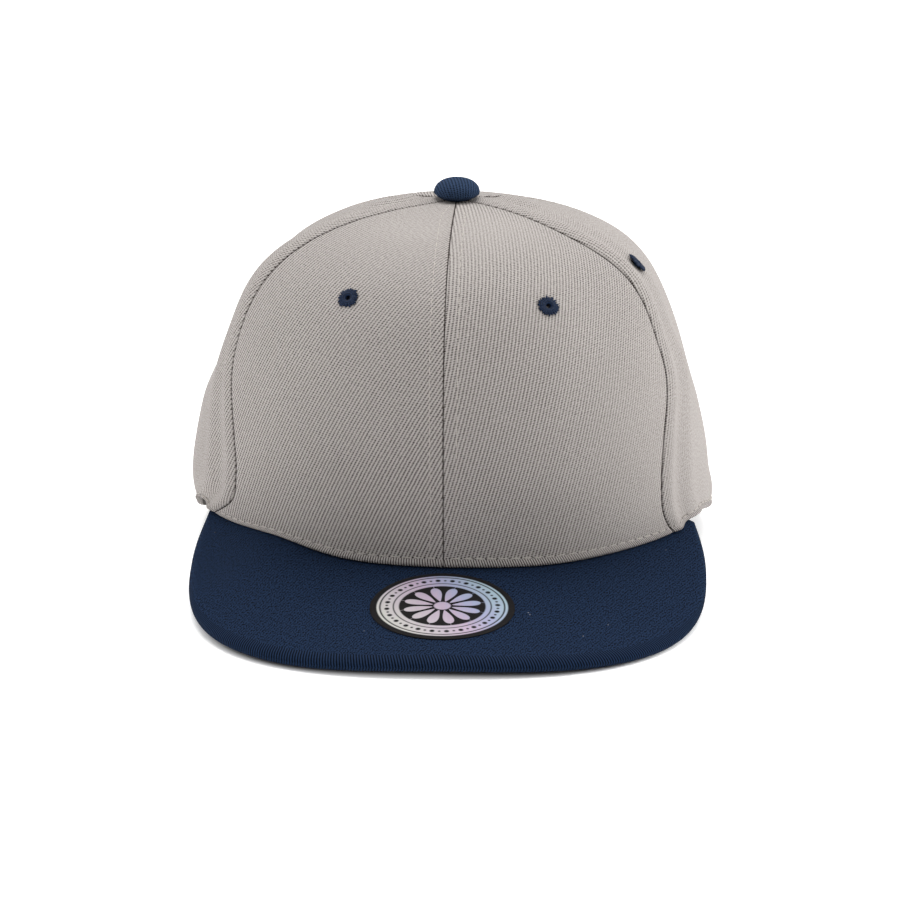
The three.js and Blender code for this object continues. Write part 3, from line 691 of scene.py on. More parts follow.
def foil_print(name):
    """Rainbow foil with black rings, dots and petals, all from radius r and angle a.

    A petal is the part of its sector where 0.72 * sqrt(4 w (1 - w)) is more than the share
    of the way to the sector's side, with w from 0 at the petal's root to 1 at its tip.
    """
    board = Board(name, Coat_Roughness=0.08, Specular_IOR_Level=0.1)
    x, y, _ = board.place("print")
    r = (x * x + y * y) ** 0.5
    a = board.add("ShaderNodeMath", {"operation": "ARCTAN2"}, y, x) / (2 * math.pi)

    def ring(low, high):
        inside = r.step(high - INK_EDGE, high + INK_EDGE, 1, 0)
        return r.step(low - INK_EDGE, low + INK_EDGE) * inside

    def dots(radius, shift=0.0):
        aside = ((a * DOTS + shift).part() - 0.5) * (2 * math.pi * DOT_RING / DOTS)
        from_middle = aside ** 2 + (r - DOT_RING) ** 2
        return from_middle.step((radius - INK_EDGE) ** 2, (radius + INK_EDGE) ** 2, 1, 0)

    petal = ((a * PETALS).part() - 0.5).size() * 2
    width = ((r - 0.14) * (1 / 0.4)).most(0).least(1)
    bulge = (width * (1 - width) * 4) ** 0.5
    petals = (bulge * 0.72 - petal).step(-0.06, 0.06)
    disc = ring(-1.0, 0.60)
    black = ring(0.905, 2.0).most(ring(0.848, 0.872)).most(ring(0.665, 0.685))
    black = black.most(dots(0.034)).most(dots(0.016, 0.5))
    black = black.most(disc * (1 - petals) * r.step(0.10, 0.13))
    streak = board.noise(board.vector(x * 9, y * 0.6), 3.0, 3.0) - 0.5
    # painted reflection: the foil's colour turns from grey over lilac to pale blue across the disc
    painted_rainbow = (x * 0.42 + y * 0.25 + streak * 0.25 + 0.5).most(0).least(1)
    ramp = board.nodes.new("ShaderNodeValToRGB")
    stops = ((0.0, srgb(214, 216, 206)), (0.5, srgb(205, 186, 208)), (0.7, srgb(178, 184, 216)),
             (1.0, srgb(178, 208, 214)))
    for position, _ in stops[1:-1]:
        ramp.color_ramp.elements.new(position)
    for element, (position, colour) in zip(ramp.color_ramp.elements, stops):
        element.position, element.color = position, colour
    board.plug(ramp.inputs["Fac"], painted_rainbow)
    colour = board.mix(black, Wire(board, ramp.outputs["Color"]), srgb(20, 18, 19))
    board.plug(board.shader.inputs["Metallic"], (1 - black) * 0.35)
    board.plug(board.shader.inputs["Coat Weight"], (1 - black) * 0.3)
    return board.finish(colour, 0.30 + black * 0.35, streak, 0.01)


foil = foil_print("printed_foil")
print("foil:", foil.name)

# %% [markdown]
# ## The six panels
# A panel is a gore: wide at the hem and pointed at the top. Its grid follows it, with columns
# crowded a fixed distance from each seam, so that the cloth can roll down into the seam's
# groove and swell over the allowance that is folded behind it. The two back panels start at
# the rim of the half-moon opening instead of at the hem. A patch of cells is left out under
# each eyelet, so that its hole goes right through.

# %% Columns and rows of a panel
NEAR_SEAM = np.array([0.0, 0.12, 0.28, 0.5, 0.8, 1.2, 1.8, 2.6, 3.6, 4.8, 6.2, 8.0])
EVEN_COLUMNS, EVEN_ROWS, USUAL_LENGTH = 62, 150, 150


def panel_columns(width):
    """Share across a row of each column: fixed millimetres near the seams, even between."""
    near = NEAR_SEAM * np.minimum(1, width[:, None] / (3 * NEAR_SEAM[-1]))
    even = np.linspace(0, 1, EVEN_COLUMNS + 2)[1:-1]
    room = width[:, None] - 2 * near[:, -1:]
    between = near[:, -1:] + room * even
    return np.hstack([near, between, width[:, None] - near[:, ::-1]]) / width[:, None]


def panel_rows():
    """Share up a column of each row, crowded near the hem: 0, then 0.12 mm, and so on."""
    near = NEAR_SEAM / USUAL_LENGTH
    even = near[-1] + (1 - near[-1]) * np.linspace(0, 1, EVEN_ROWS + 1)[1:]
    return np.concatenate([near, even])


print("a panel has", len(panel_rows()), "rows of", EVEN_COLUMNS + 2 * len(NEAR_SEAM), "points")

# %% The half-moon opening and a panel's grid
ARCH_WIDTH, ARCH_HEIGHT = 96.0, 58.0


def arch_start(low, columns):
    """Azimuth and share where each column of a back panel starts: hem first, then the arch.

    On the arch x = 48 cos t and z = 58 sin t. Its azimuth is atan2(x, y of the face), found in
    a few rounds because the face's y depends on it, and the share is that of the height.
    """
    foot = 180 - np.degrees(np.arcsin(ARCH_WIDTH / 2 / BACK_REACH)) + 1.5
    t = np.linspace(0, np.pi / 2, 200)
    x, z = ARCH_WIDTH / 2 * np.cos(t), ARCH_HEIGHT * np.sin(t)
    azimuth = np.full_like(x, foot)
    for _ in range(12):
        face = crown_face(azimuth, share_at(azimuth, z))
        azimuth = 180 - np.degrees(np.arctan2(x, face[:, 1]))
    hem = np.linspace(low, azimuth[0], 60)[:-1]
    line = np.stack([np.concatenate([hem, azimuth]),
                     np.concatenate([0 * hem, share_at(azimuth, z)])], -1)
    run = lengths_along(crown_face(line[:, 0], line[:, 1]), 0)
    return [np.interp(columns * run[-1], run, line[:, k]) for k in range(2)]


def panel_grid(name, low, high):
    """Azimuth and share of a panel's points, its rows' widths in mm, and its sign.

    The left back panel is worked out as its mirror image on the right, and has sign -1. The
    columns of a back panel ease from where the opening starts them to an even fan above.
    """
    sign = -1 if high < -90 else 1
    first, last = (-high, -low) if sign < 0 else (low, high)
    rows = panel_rows()[:, None]
    share = rows * TIP_SHARE
    middle = np.full(len(share), (first + last) / 2)
    reach = np.linalg.norm(crown_face(sign * middle, share[:, 0])[:, :2], axis=-1)
    width = reach * math.radians(last - first)
    columns = panel_columns(width)
    azimuth = first + (last - first) * columns
    if name.startswith("back"):
        start, first_share = arch_start(first, columns[0])
        ease = (1 - rows) ** 2
        azimuth = azimuth * (1 - ease) + start * ease
        share = first_share + (TIP_SHARE - first_share) * rows
    share = np.broadcast_to(share, azimuth.shape)
    return swayed(sign * azimuth, share), share, width, sign


print("half-moon", ARCH_WIDTH, "mm wide and", ARCH_HEIGHT, "high")

# %% [markdown]
# ## How the twill lies on a panel
# Each panel is cut flat, so its ribs follow the flat cloth and not the crown. Up the wall the
# cloth's height is the crown's own, and over the shoulder it is the length run up the middle of
# the panel. The ribs lean by a table of angles. How deep they show, in relief and in the painted
# shade of their grooves, changes from place to place, least on top where the light fills the
# grooves, which a table of bells gives, while beside a seam they stay whole.

# %% Lean of the ribs, and where their painted groove shade fades
LEAN_HEIGHTS = (0, 45, 80, 105, 140, 190)
RIB_SHADE_FADES = np.array([
    # azimuth, height in mm, spread in degrees, tall in mm, share of the ribs' depth and painted
    # groove shade lost
    (-25, 155, 40, 28, 0.60),   # top, left
    (30, 160, 40, 28, 0.50),    # top, right
    (60, 45, 30, 60, 0.65),     # by the right seam
    (98, 80, 30, 90, 0.80),     # right flank
    (-95, 60, 30, 90, 0.35),    # left flank
    (0, 20, 50, 45, -0.35),     # front, above the brim, where they show most
])


def sheared(height, leans):
    """How far the ribs have moved aside at a height: the integral of tan(lean) from the hem."""
    steps = np.linspace(0, 230, 461)
    slope = np.tan(np.radians(np.interp(steps, LEAN_HEIGHTS, leans)))
    moved = np.cumsum((slope[1:] + slope[:-1]) / 2 * np.diff(steps))
    return np.interp(height, steps[1:], moved)


def ribs_shown(azimuth, height, nearest):
    """Depth of the ribs and their painted groove shade, 1 less the table's bells, but whole beside
    a seam.
    """
    aside = turned(azimuth[..., None] - RIB_SHADE_FADES[:, 0]) / RIB_SHADE_FADES[:, 2]
    above = (height[..., None] - RIB_SHADE_FADES[:, 1]) / RIB_SHADE_FADES[:, 3]
    lost = (RIB_SHADE_FADES[:, 4] * np.exp(-aside ** 2 - above ** 2)).sum(-1)
    return 1 - np.clip(lost, -0.4, 0.9) * np.clip(nearest / 3, 0.3, 1)


def cloth_height(share, base, up):
    """Height on the flat cloth: the face's own on the wall, then the run up the middle column."""
    column = base.shape[1] // 2
    climbed = np.interp(share, share[:, column], up[:, column])
    climbed -= np.interp(WALL_SHARE, share[:, column], up[:, column])
    return np.where(share < WALL_SHARE, base[..., 2], STRAIGHT_HEIGHT + climbed)


print("ribs that lean 20 degrees have moved", sheared(100, [20] * 6).round(1), "mm at 100 mm up")

# %% [markdown]
# ## Seams, swells and the rolled hem
# The relief is what turns a smooth balloon into sewn cloth: edges that roll down into each seam,
# the swell over the allowance that is folded behind it, and a hem rolled up to a row of
# stitches that pull it in.

# %% Relief of a panel
HEM_STITCH = 3.8           # from the hem's edge up to its row of stitches, in mm
SIDE_SWELLS = ((1.1, 4.8, 3.4), (-1.1, 13.5, 4.5), (0.6, 22.5, 4.5))  # push, middle, spread


def bell(distance, middle, spread):
    """exp(-((d - middle) / spread)^2), a smooth bump along a distance."""
    return np.exp(-((distance - middle) / spread) ** 2)


def rolled(distance, radius):
    """How far a rounded edge drops: r - sqrt(r^2 - (r - d)^2) within r of the edge."""
    inside = np.clip(radius - distance, 0, radius)
    return radius - np.sqrt(radius ** 2 - inside ** 2)


def panel_relief(name, azimuth, share, from_low, from_high, up, run):
    """How far the cloth stands proud of the face, in mm.

    Both edges roll down nearly by the cloth's thickness, which leaves a narrow groove at the
    seam. Beside a front seam the side panel swells over the folded allowance, sinks and swells
    again. The hem is rolled up to its row of stitches, which pull it in.
    """
    nearest = np.minimum(from_low, from_high)
    relief = np.where(np.abs(azimuth) < FRONT_SEAM / 2, -0.7 * rolled(nearest, 0.7),
                      -1.3 * rolled(nearest, 1.0))
    fade = np.clip((TIP_SHARE - share) * 8, 0, 1)
    if name.startswith("side"):
        from_front = from_low if azimuth[0, 0] > 0 else from_high
        relief += fade * sum(push * bell(from_front, middle, spread)
                             for push, middle, spread in SIDE_SWELLS)
    else:
        relief += fade * 0.12 * (1 - np.clip((nearest - 4.0) / 2.5, 0, 1))
    tube = np.clip(up / HEM_STITCH, 0, 1)
    hem = -rolled(up, 1.3) + 0.55 * np.sin(np.pi * tube)
    pull = 0.5 - 0.5 * np.cos(2 * np.pi * run / STITCH_PITCH)
    hem -= (0.18 + 0.10 * pull) * bell(up, HEM_STITCH, 0.7)
    return relief + hem


print("a seam's edge sinks", round(1.3 * float(rolled(0.0, 1.0)), 1), "mm")

# %% Places measured along a panel
def at_distance(grid, up, distance):
    """The point of each column that lies a distance up from its start."""
    after = (up < distance).sum(0)
    column = np.arange(grid.shape[1])
    low, high = up[after - 1, column], up[after, column]
    share = ((distance - low) / (high - low))[:, None]
    return grid[after - 1, column] * (1 - share) + grid[after, column] * share


def read_along(lines, run, wanted):
    """The points of some lines at wanted distances, where run is the distance at each point."""
    return [np.stack([np.interp(wanted, run, line[:, k]) for k in range(3)], -1) for line in lines]


def needle_holes(front, normal, up, run):
    """Points and normals where the needle went in, one stitch apart along the hem's row."""
    wanted = (np.arange(int(run[-1] / STITCH_PITCH)) + 0.5) * STITCH_PITCH
    return read_along([at_distance(grid, up, HEM_STITCH) for grid in (front, normal)], run, wanted)


def needle_row(line, normal):
    """Points and normals one stitch apart along a line of points."""
    run = lengths_along(line, 0)
    return read_along((line, normal), run, np.arange(0, run[-1], STITCH_PITCH))


def surface_area(grid):
    """Area of a grid of points: half the cross product of each cell's diagonals."""
    first, second = grid[1:, 1:] - grid[:-1, :-1], grid[1:, :-1] - grid[:-1, 1:]
    return np.linalg.norm(np.cross(first, second), axis=-1).sum() / 2


# %% Places of the eyelets
EYELETS = {
    # azimuth and height share of each hole
    "front_left": (-26.8, 0.856), "front_right": (27.2, 0.844),
    "side_left": (-88.0, 0.800), "side_right": (70.0, 0.870),
    "back_left": (-150.0, 0.790), "back_right": (150.0, 0.790),
}
EYELET_OPENING = 1.9       # radius within which a panel has no cells


def eyelet_centre(name):
    """Point of the crown's face at an eyelet's middle."""
    azimuth, height = EYELETS[name]
    share = share_at(np.array([azimuth]), height * CROWN_HEIGHT)
    return crown_face(np.array([azimuth]), share)[0]


print("front eyelets", round(float(np.linalg.norm(
    eyelet_centre("front_right") - eyelet_centre("front_left")))), "mm apart")

# %% [markdown]
# ## One panel after another
# With its grid, relief and layers at hand, a panel is made in one go: a front face, a back face
# one cloth's thickness behind it, a mask that leaves out the eyelet's hole, and the walls that
# close the edges. It also gives the needle's holes for the rows of stitches.

# %% The six panels
SEAM_STITCH_COLUMNS = (9, -10)     # the columns 4.8 mm from each seam
FAR_FROM_STITCHES = 50.0           # a distance that no pattern beside a stitch reaches
CENTRE_SEAM_SHARE = 1.3            # the centre seam is pressed, so the painted shade beside it is narrower


def make_panel(name, low, high, material, leans):
    """One panel between two azimuths, with its relief, its layers and its eyelet's hole."""
    azimuth, share, width, sign = panel_grid(name, low, high)
    base, normal = crown_face(azimuth, share), crown_normal(azimuth, share)
    across, up = lengths_along(base, 1), lengths_along(base, 0)
    run = lengths_along(at_distance(base, up, HEM_STITCH), 0)
    relief = panel_relief(name, azimuth, share, across, across[:, -1:] - across, up, run)
    front = base + normal * relief[..., None]
    back = base - normal * CLOTH
    hem_line = share[0] == 0
    back[0, hem_line, 2] = hem_height(back[0, hem_line, 0], back[0, hem_line, 1])
    cells = (base[1:, 1:] + base[:-1, :-1]) / 2
    from_hole = np.linalg.norm(cells - eyelet_centre(name.replace("_panel", "")), axis=-1)
    keep = from_hole > EYELET_OPENING

    height = cloth_height(share, base, up)
    grain_line = 0.0 if name.startswith("front") else sign * (low + high) / 2
    at_grain = [np.interp(grain_line, sign * row, line) for row, line in zip(azimuth, across)]
    nearest = np.minimum(across, across[:, -1:] - across)
    weave = np.stack([sign * (across - np.array(at_grain)[:, None]) - sheared(height, leans),
                      height, ribs_shown(azimuth, height, nearest)], -1)
    if name.startswith("front"):
        centre = np.abs(azimuth) < FRONT_SEAM / 2
        nearest = np.where(centre, CENTRE_SEAM_SHARE * nearest, nearest)
    stitching = np.stack([np.broadcast_to(run, up.shape), up - HEM_STITCH, nearest], -1)

    grids = [front, back, weave, stitching]
    if sign < 0:
        grids, keep = [grid[:, ::-1] for grid in grids], keep[:, ::-1]
    points, faces = two_faced(grids[0], grids[1], keep)
    layers = [np.concatenate([grid.reshape(-1, 3)] * 2) for grid in grids[2:]]
    layers[1][len(points) // 2:, 1:] = FAR_FROM_STITCHES
    points, faces, layers = used_only(points, faces, *layers)
    piece = mesh_piece(name + "_cloth", points, faces, material,
                       dict(zip(("weave", "stitching"), layers)))
    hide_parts(name)
    print(name, len(faces), "faces, cloth", round(surface_area(front) / 100), "cm2, widest",
          round(width.max()), "mm, longest", round(up.max()), "mm")
    return {"piece": piece, "hem": needle_holes(front, normal, up, run),
            "seams": [needle_row(front[12:-4, k], normal[12:-4, k]) for k in SEAM_STITCH_COLUMNS]}


PANELS = {
    # first and last azimuth, cloth, lean of the ribs in degrees at each of LEAN_HEIGHTS
    "front_panel_left": (-FRONT_SEAM, 0.0, grey_left, (22, 26, 31, 36, 41, 44)),
    "front_panel_right": (0.0, FRONT_SEAM, grey_right, (18, 17, 13, 6, -5, -8)),
    "side_panel_left": (-BACK_SEAM, -FRONT_SEAM, grey_left, (24, 24, 24, 24, 24, 24)),
    "side_panel_right": (FRONT_SEAM, BACK_SEAM, grey_right, (16, 16, 16, 16, 16, 16)),
    "back_panel_left": (-180.0, -BACK_SEAM, grey_left, (25, 25, 25, 25, 25, 25)),
    "back_panel_right": (BACK_SEAM, 180.0, grey_right, (16, 16, 16, 16, 16, 16)),
}
panels = {name: make_panel(name, *row) for name, row in PANELS.items()}

# %% [markdown]
# ## Rows of stitches
# A topstitch is a short length of thread that comes up through one needle hole and dives into
# the next. Every stitch is the same small tube on an arc, so a whole row is one array of
# points: stitches, times steps along a stitch, times sides round it.

# %% Stitches
def tube_faces(count, steps, sides):
    """Quads of several tubes of the same size, steps long and sides round."""
    faces = grid_faces(steps, sides, wrap=True)
    return (np.arange(count)[:, None, None] * steps * sides + faces).reshape(-1, 4)


def stitch_row(name, holes, normals, radius, lift):
    """A mesh of stitches between neighbouring needle holes.

    At share t the thread lies at hole + step * t + normal * lift * sin(pi t), and its radius
    is radius * sin(pi t)^0.35, so that both ends close in a point.
    """
    start, step = holes[:-1], np.diff(holes, axis=0)
    kept = np.linalg.norm(step, axis=1) < 1.6 * STITCH_PITCH
    start, step, normal = start[kept], step[kept], normals[:-1][kept]
    t = np.array([0, 0.05, 0.18, 0.38, 0.62, 0.82, 0.95, 1.0])
    sides = np.linspace(0, 2 * np.pi, 7)[:-1]
    length = np.linalg.norm(step, axis=1, keepdims=True)
    aside = np.cross(step / length, normal)
    arc = np.sin(np.pi * t)
    centre = (start[:, None] + step[:, None] * (0.07 + 0.86 * t)[:, None]
              + normal[:, None] * (lift * arc - 0.1)[:, None])
    thick = radius * np.clip(arc, 0, 1) ** 0.35
    ring = (normal[:, None, None] * np.cos(sides)[:, None]
            - aside[:, None, None] * np.sin(sides)[:, None])
    points = centre[:, :, None] + ring * thick[None, :, None, None]
    faces = tube_faces(len(start), len(t), len(sides))
    along = np.broadcast_to((t * STITCH_PITCH)[None, :, None], points.shape[:3])
    around = np.broadcast_to(sides[None, None] / (2 * np.pi), points.shape[:3])
    weave = np.stack([along, around], -1).reshape(-1, 2)
    piece = mesh_piece(name, points.reshape(-1, 3), faces, grey_thread,
                       {"weave": weave}, weld=True)
    print(name, len(start), "stitches")
    return piece


sewn_on = {name: [stitch_row(name.replace("panel", "hem_stitches"), *panel["hem"], 0.2, 0.32)]
           for name, panel in panels.items()}
for name, side in (("front_panel_left", 1), ("front_panel_right", 0)):
    row = stitch_row(name.replace("panel", "seam_stitches"), *panels[name]["seams"][side],
                     0.16, 0.12)
    sewn_on[name].append(row)

# %% [markdown]
# ## The panels as cut cloth
# Each panel prints how large its sheet of cloth was before it was sewn. The sizes are those of
# the finished panel laid flat: its widest row, its longest column and its area.

# %% Counting the sheets
print("sheets:", len(panels))

# %% [markdown]
# ## The brim
# A flat brim is a stiff board with cloth drawn over it and round its edge. Its outline is a
# superellipse in front and curves back to the corners under the crown. Each section goes out
# along the top and rolls over the edge. The underside is a second grid that meets the first at
# the tip of the roll.

# %% One face of the brim
NOSE_LENGTH, NOSE_UNDER, ROLLED_BAND = 3.6, 2.6, 7.0
NOSE_TURNS = np.linspace(0, np.pi / 2, 13)
BRIM_COLUMNS, BRIM_ROWS = 401, 60


def brim_grid(inner, outer, outwards, reach, face):
    """Points and weave of one face of the brim, from the inner line to the tip of the nose.

    The flat part blends the two lines. On the nose x = reach * sin a, and the drop is half
    the thickness times 1 - cos a. The cloth's place runs on round the nose unstretched.
    """
    share = 1 - (1 - np.linspace(0, 1, BRIM_ROWS)) ** 1.3
    shoulder = outer - outwards * reach
    flat = inner[:, None] + (shoulder - inner)[:, None] * share[:, None]
    x = reach * np.sin(NOSE_TURNS)
    drop = BRIM_THICKNESS / 2 * (1 - np.cos(NOSE_TURNS))
    roll = shoulder[:, None] + outwards[:, None] * x[:, 1:, None]
    run = np.cumsum(np.hypot(np.diff(x, axis=1), np.diff(drop)), axis=1)
    unrolled = shoulder[:, None] + outwards[:, None] * run[..., None]
    plan = np.concatenate([flat, roll], 1)
    height = brim_top(plan[..., 0], plan[..., 1])
    sunk = np.concatenate([0 * share, drop[1:]])
    height = height - sunk if face > 0 else height - BRIM_THICKNESS + sunk
    return np.dstack([plan, height]), np.concatenate([flat, unrolled], 1)


# %% Lines that bound the brim
outer_line = brim_outline(BRIM_COLUMNS)
hem_azimuths = np.linspace(-BRIM_CORNER, BRIM_CORNER, 181)
at_hem = np.zeros_like(hem_azimuths)
inner_line = crown_face(hem_azimuths, at_hem) - crown_normal(hem_azimuths, at_hem) * CLOTH
inner_line = evenly(inner_line[:, :2], BRIM_COLUMNS)
tangent = np.gradient(outer_line, axis=0)
outwards = np.stack([tangent[:, 1], -tangent[:, 0]], -1)
outwards *= -np.sign(outwards[BRIM_COLUMNS // 2, 1]) / np.linalg.norm(outwards, axis=1)[:, None]
room = np.linalg.norm(outer_line - inner_line, axis=1)[:, None] * 0.3
print("brim", round(float(np.ptp(outer_line[:, 0]))), "mm wide")

# %% The brim
faces_of_brim = [brim_grid(inner_line, outer_line, outwards, np.minimum(reach, room), face)
                 for reach, face in ((NOSE_LENGTH, 1), (NOSE_UNDER, -1))]
(top_face, top_weave), (low_face, low_weave) = faces_of_brim
points, faces = two_faced(top_face, low_face, np.ones(np.array(top_face.shape[:2]) - 1, bool))
weave = np.concatenate([top_weave.reshape(-1, 2), low_weave.reshape(-1, 2) * (1, -1)])
edge_run = lengths_along(outer_line, 0)[:, None]
band = ROLLED_BAND * np.clip(-outwards[:, 1:], 0, 1) ** 0.5
to_edge = lengths_along(top_face, 1)[:, -1:] - lengths_along(top_face, 1) - band
edge = np.stack(np.broadcast_arrays(edge_run, to_edge), -1).reshape(-1, 2)
brim = mesh_piece("brim_cloth", points, faces, navy,
                  {"weave": weave, "stitching": np.concatenate([edge, edge])}, weld=True)
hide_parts("brim")
print("brim", len(faces), "faces, front edge at", np.round(top_face[BRIM_COLUMNS // 2, -1], 1))

# %% [markdown]
# ## Round pieces
# The button, the ends of its rivet and the sticker are grids in polar terms: each row is a
# ring, and each column runs from the middle out. Where a row has no radius its points fall
# together, and welding them closes the pole.

# %% The covered button
def lathe(radii, heights, columns):
    """A profile carried round the axis: x = r cos, y = r sin, as (rows, columns, 3)."""
    turn = np.linspace(0, 2 * np.pi, columns, endpoint=False)
    radii, heights = np.asarray(radii, float)[:, None], np.asarray(heights, float)[:, None]
    return np.dstack([radii * np.cos(turn), radii * np.sin(turn), heights + 0 * turn])


BUTTON_RADIUS, BUTTON_RISE, BUTTON_WAIST = 8.65, 5.3, 2.5
BUTTON_COLUMNS, SHANK_RADIUS = 96, 2.4
PLEATS, PLEAT_DEPTH = 11, 0.03     # faint folds where the cloth is gathered under the rim
climb = np.linspace(np.pi / 2, 0, 26)
under = np.linspace(0, 1, 10)[1:]
radii = np.concatenate([BUTTON_RADIUS * np.cos(climb) ** 0.8, BUTTON_RADIUS - 3.0 * under ** 1.6,
                        [5.0, SHANK_RADIUS, SHANK_RADIUS]])
radii[0] = 0
heights = np.concatenate([BUTTON_WAIST + BUTTON_RISE * np.sin(climb), BUTTON_WAIST - 2.2 * under,
                          [0.3, 0.3, -1.9]])
dome = lathe(radii, heights, BUTTON_COLUMNS)
run = lengths_along(dome, 0)[:, :1]
turn = np.linspace(0, 2 * np.pi, BUTTON_COLUMNS, endpoint=False)
folds = 0.5 + 0.5 * np.cos(PLEATS * turn + np.sin(3 * turn))
tuck = 1 - PLEAT_DEPTH * np.clip((run - 8) / 4, 0, 1) * folds
dome[..., :2] *= tuck[..., None]
dome[..., 2] += CROWN_HEIGHT
weave = np.stack([run * np.cos(turn), run * np.sin(turn)], -1).reshape(-1, 2)
faces = grid_faces(*dome.shape[:2], wrap=True)[:, ::-1]
far = np.full((len(weave), 2), FAR_FROM_STITCHES)
button = mesh_piece("button_cloth", dome.reshape(-1, 3), faces, navy_button,
                    {"weave": weave, "stitching": far}, weld=True)
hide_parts("button")
print("button", round(2 * float(radii.max()), 1), "mm across")

# %% The rivet's head inside the crown
rivet = lathe([SHANK_RADIUS, 5.5, 5.5, 5.2, 0], [-2.22, -2.22, -3.3, -3.72, -3.72], 48)
rivet[..., 2] += CROWN_HEIGHT
faces = grid_faces(*rivet.shape[:2], wrap=True)[:, ::-1]
mesh_piece("button_rivet", rivet.reshape(-1, 3), faces, plastic,
           {"weave": rivet.reshape(-1, 3)[:, :2]}, weld=True)
print("rivet", round(2 * float(np.abs(rivet[..., 0]).max()), 1), "mm across")

# %% [markdown]
# ## Embroidered eyelets
# A cap's vent is a hole whose rim is whipped with thread: some forty stitches run from the hole
# outwards, each a little longer or shorter than the next, which makes the ragged edge. One
# stitch is a tube that comes up out of the hole, arches over the rim and dives into the cloth.

# %% Strands of thread
STRANDS, EYELET_HOLE, EYELET_RADIUS = 46, 1.0, 4.0
STRAND_STEPS, STRAND_SIDES, STRAND_RADIUS = 9, 6, 0.30
chance = np.random.default_rng(7)


def frame_at(azimuth, height):
    """Middle of an eyelet on the face, with two directions along the cloth and its normal."""
    place = np.array([azimuth])
    share = share_at(place, height * CROWN_HEIGHT)
    normal = crown_normal(place, share)[0]
    side = np.cross([0, 0, 1], normal)
    side /= np.linalg.norm(side)
    return crown_face(place, share)[0], side, np.cross(normal, side), normal


def strands(count, inner, outer, lift, drop, ragged):
    """Tubes like spokes, in the eyelet's own frame, as (count, steps, sides, 3).

    A spoke's middle line runs from the hole's wall at depth drop, over the rim at height
    lift, to the outer radius at the cloth: height = drop to lift to 0.
    """
    turn = (np.arange(count) + chance.uniform(-0.25, 0.25, count)) * 2 * np.pi / count
    skew = turn + chance.uniform(-0.12, 0.12, count)
    t = np.linspace(0, 1, STRAND_STEPS)
    length = outer * (1 + chance.uniform(-ragged, ragged, count))
    r = inner + (length[:, None] - inner) * np.clip((t - 0.15) / 0.85, 0, 1) ** 0.9
    falling = lift * np.cos((t - 0.2) / 0.8 * np.pi / 2) ** 0.7
    z = np.where(t < 0.2, drop + (lift - drop) * (t / 0.2), falling)
    z = z * (1 + chance.uniform(-0.15, 0.15, count)[:, None])
    angle = turn[:, None] * (1 - t) + skew[:, None] * t
    middle = np.stack([r * np.cos(angle), r * np.sin(angle), z], -1)
    along = np.gradient(middle, axis=1)
    along /= np.linalg.norm(along, axis=-1, keepdims=True)
    aside = np.stack([-np.sin(angle), np.cos(angle), 0 * angle], -1)
    over = np.cross(along, aside)
    sides = np.linspace(0, 2 * np.pi, STRAND_SIDES + 1)[:-1]
    taper = np.array([0, 0.8, 1, 1, 1, 1, 1, 0.8, 0])
    thick = STRAND_RADIUS * (0.75 + 0.45 * r / outer) * taper
    ring = aside[:, :, None] * np.cos(sides)[:, None] + over[:, :, None] * np.sin(sides)[:, None]
    return middle[:, :, None] + ring * thick[..., None, None]


# %% Eyelets
def make_eyelet(name, azimuth, height):
    """Thread on the cloth's face and on its back, round one hole."""
    middle, side, up, normal = frame_at(azimuth, height)
    outside = strands(STRANDS, EYELET_HOLE, EYELET_RADIUS, 0.6, -0.8, 0.13)
    inside = strands(STRANDS // 2, EYELET_HOLE + 0.2, EYELET_RADIUS - 0.4, 0.6, -0.9, 0.08)
    inside = inside * (1, -1, -1) - (0, 0, CLOTH)
    local = np.concatenate([outside, inside])
    base = lathe([EYELET_HOLE + 0.05, EYELET_RADIUS - 0.5, EYELET_RADIUS - 0.7, EYELET_HOLE + 0.25,
                  EYELET_HOLE + 0.25, EYELET_RADIUS - 0.9, EYELET_RADIUS - 0.7, EYELET_HOLE + 0.05,
                  EYELET_HOLE + 0.05],
                 [0.35, 0.1, -0.05, -0.05, -CLOTH + 0.05, -CLOTH + 0.05, -CLOTH - 0.2,
                  -CLOTH - 0.3, 0.35], 40)
    tubes = tube_faces(len(local), *local.shape[1:3])
    ring = grid_faces(*base.shape[:2], wrap=True)[:, ::-1] + local[..., 0].size
    local_points = np.concatenate([local.reshape(-1, 3), base.reshape(-1, 3)])
    points = middle + local_points @ np.stack([side, up, normal])
    t = np.broadcast_to(np.arange(STRAND_STEPS)[None, :, None] * 0.4, local.shape[:3]).ravel()
    around = np.arange(STRAND_SIDES)[None, None] / STRAND_SIDES
    around = np.broadcast_to(around, local.shape[:3]).ravel()
    weave = np.concatenate([np.stack([t, around], -1), base.reshape(-1, 3)[:, :2]])
    piece = mesh_piece(f"eyelet_{name}_thread", points, np.concatenate([tubes, ring]),
                       navy_thread, {"weave": weave}, weld=True)
    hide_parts(f"eyelet_{name}")
    print("eyelet", name, len(local), "strands")


for name, (azimuth, height) in EYELETS.items():
    make_eyelet(name, azimuth, height)

# %% [markdown]
# ## The snap strap
# Two tails of soft plastic lie on each other across the opening, held by a row of studs. It is
# hidden in the photograph, so it is the plain kind: a band with rounded edges that follows the
# back of the crown, a second band over it with a round end, and six studs.

# %% A band of the strap
STRAP_HEIGHT, STRAP_THICKNESS, STRAP_TUCK, STRAP_LAP = 19.0, 1.6, 14.0, 64.0
STRAP_DEPTH = CLOTH + 0.45
STRAP_SHARE = WALL_SHARE * 0.19    # where on the crown's wall the strap's curve is taken


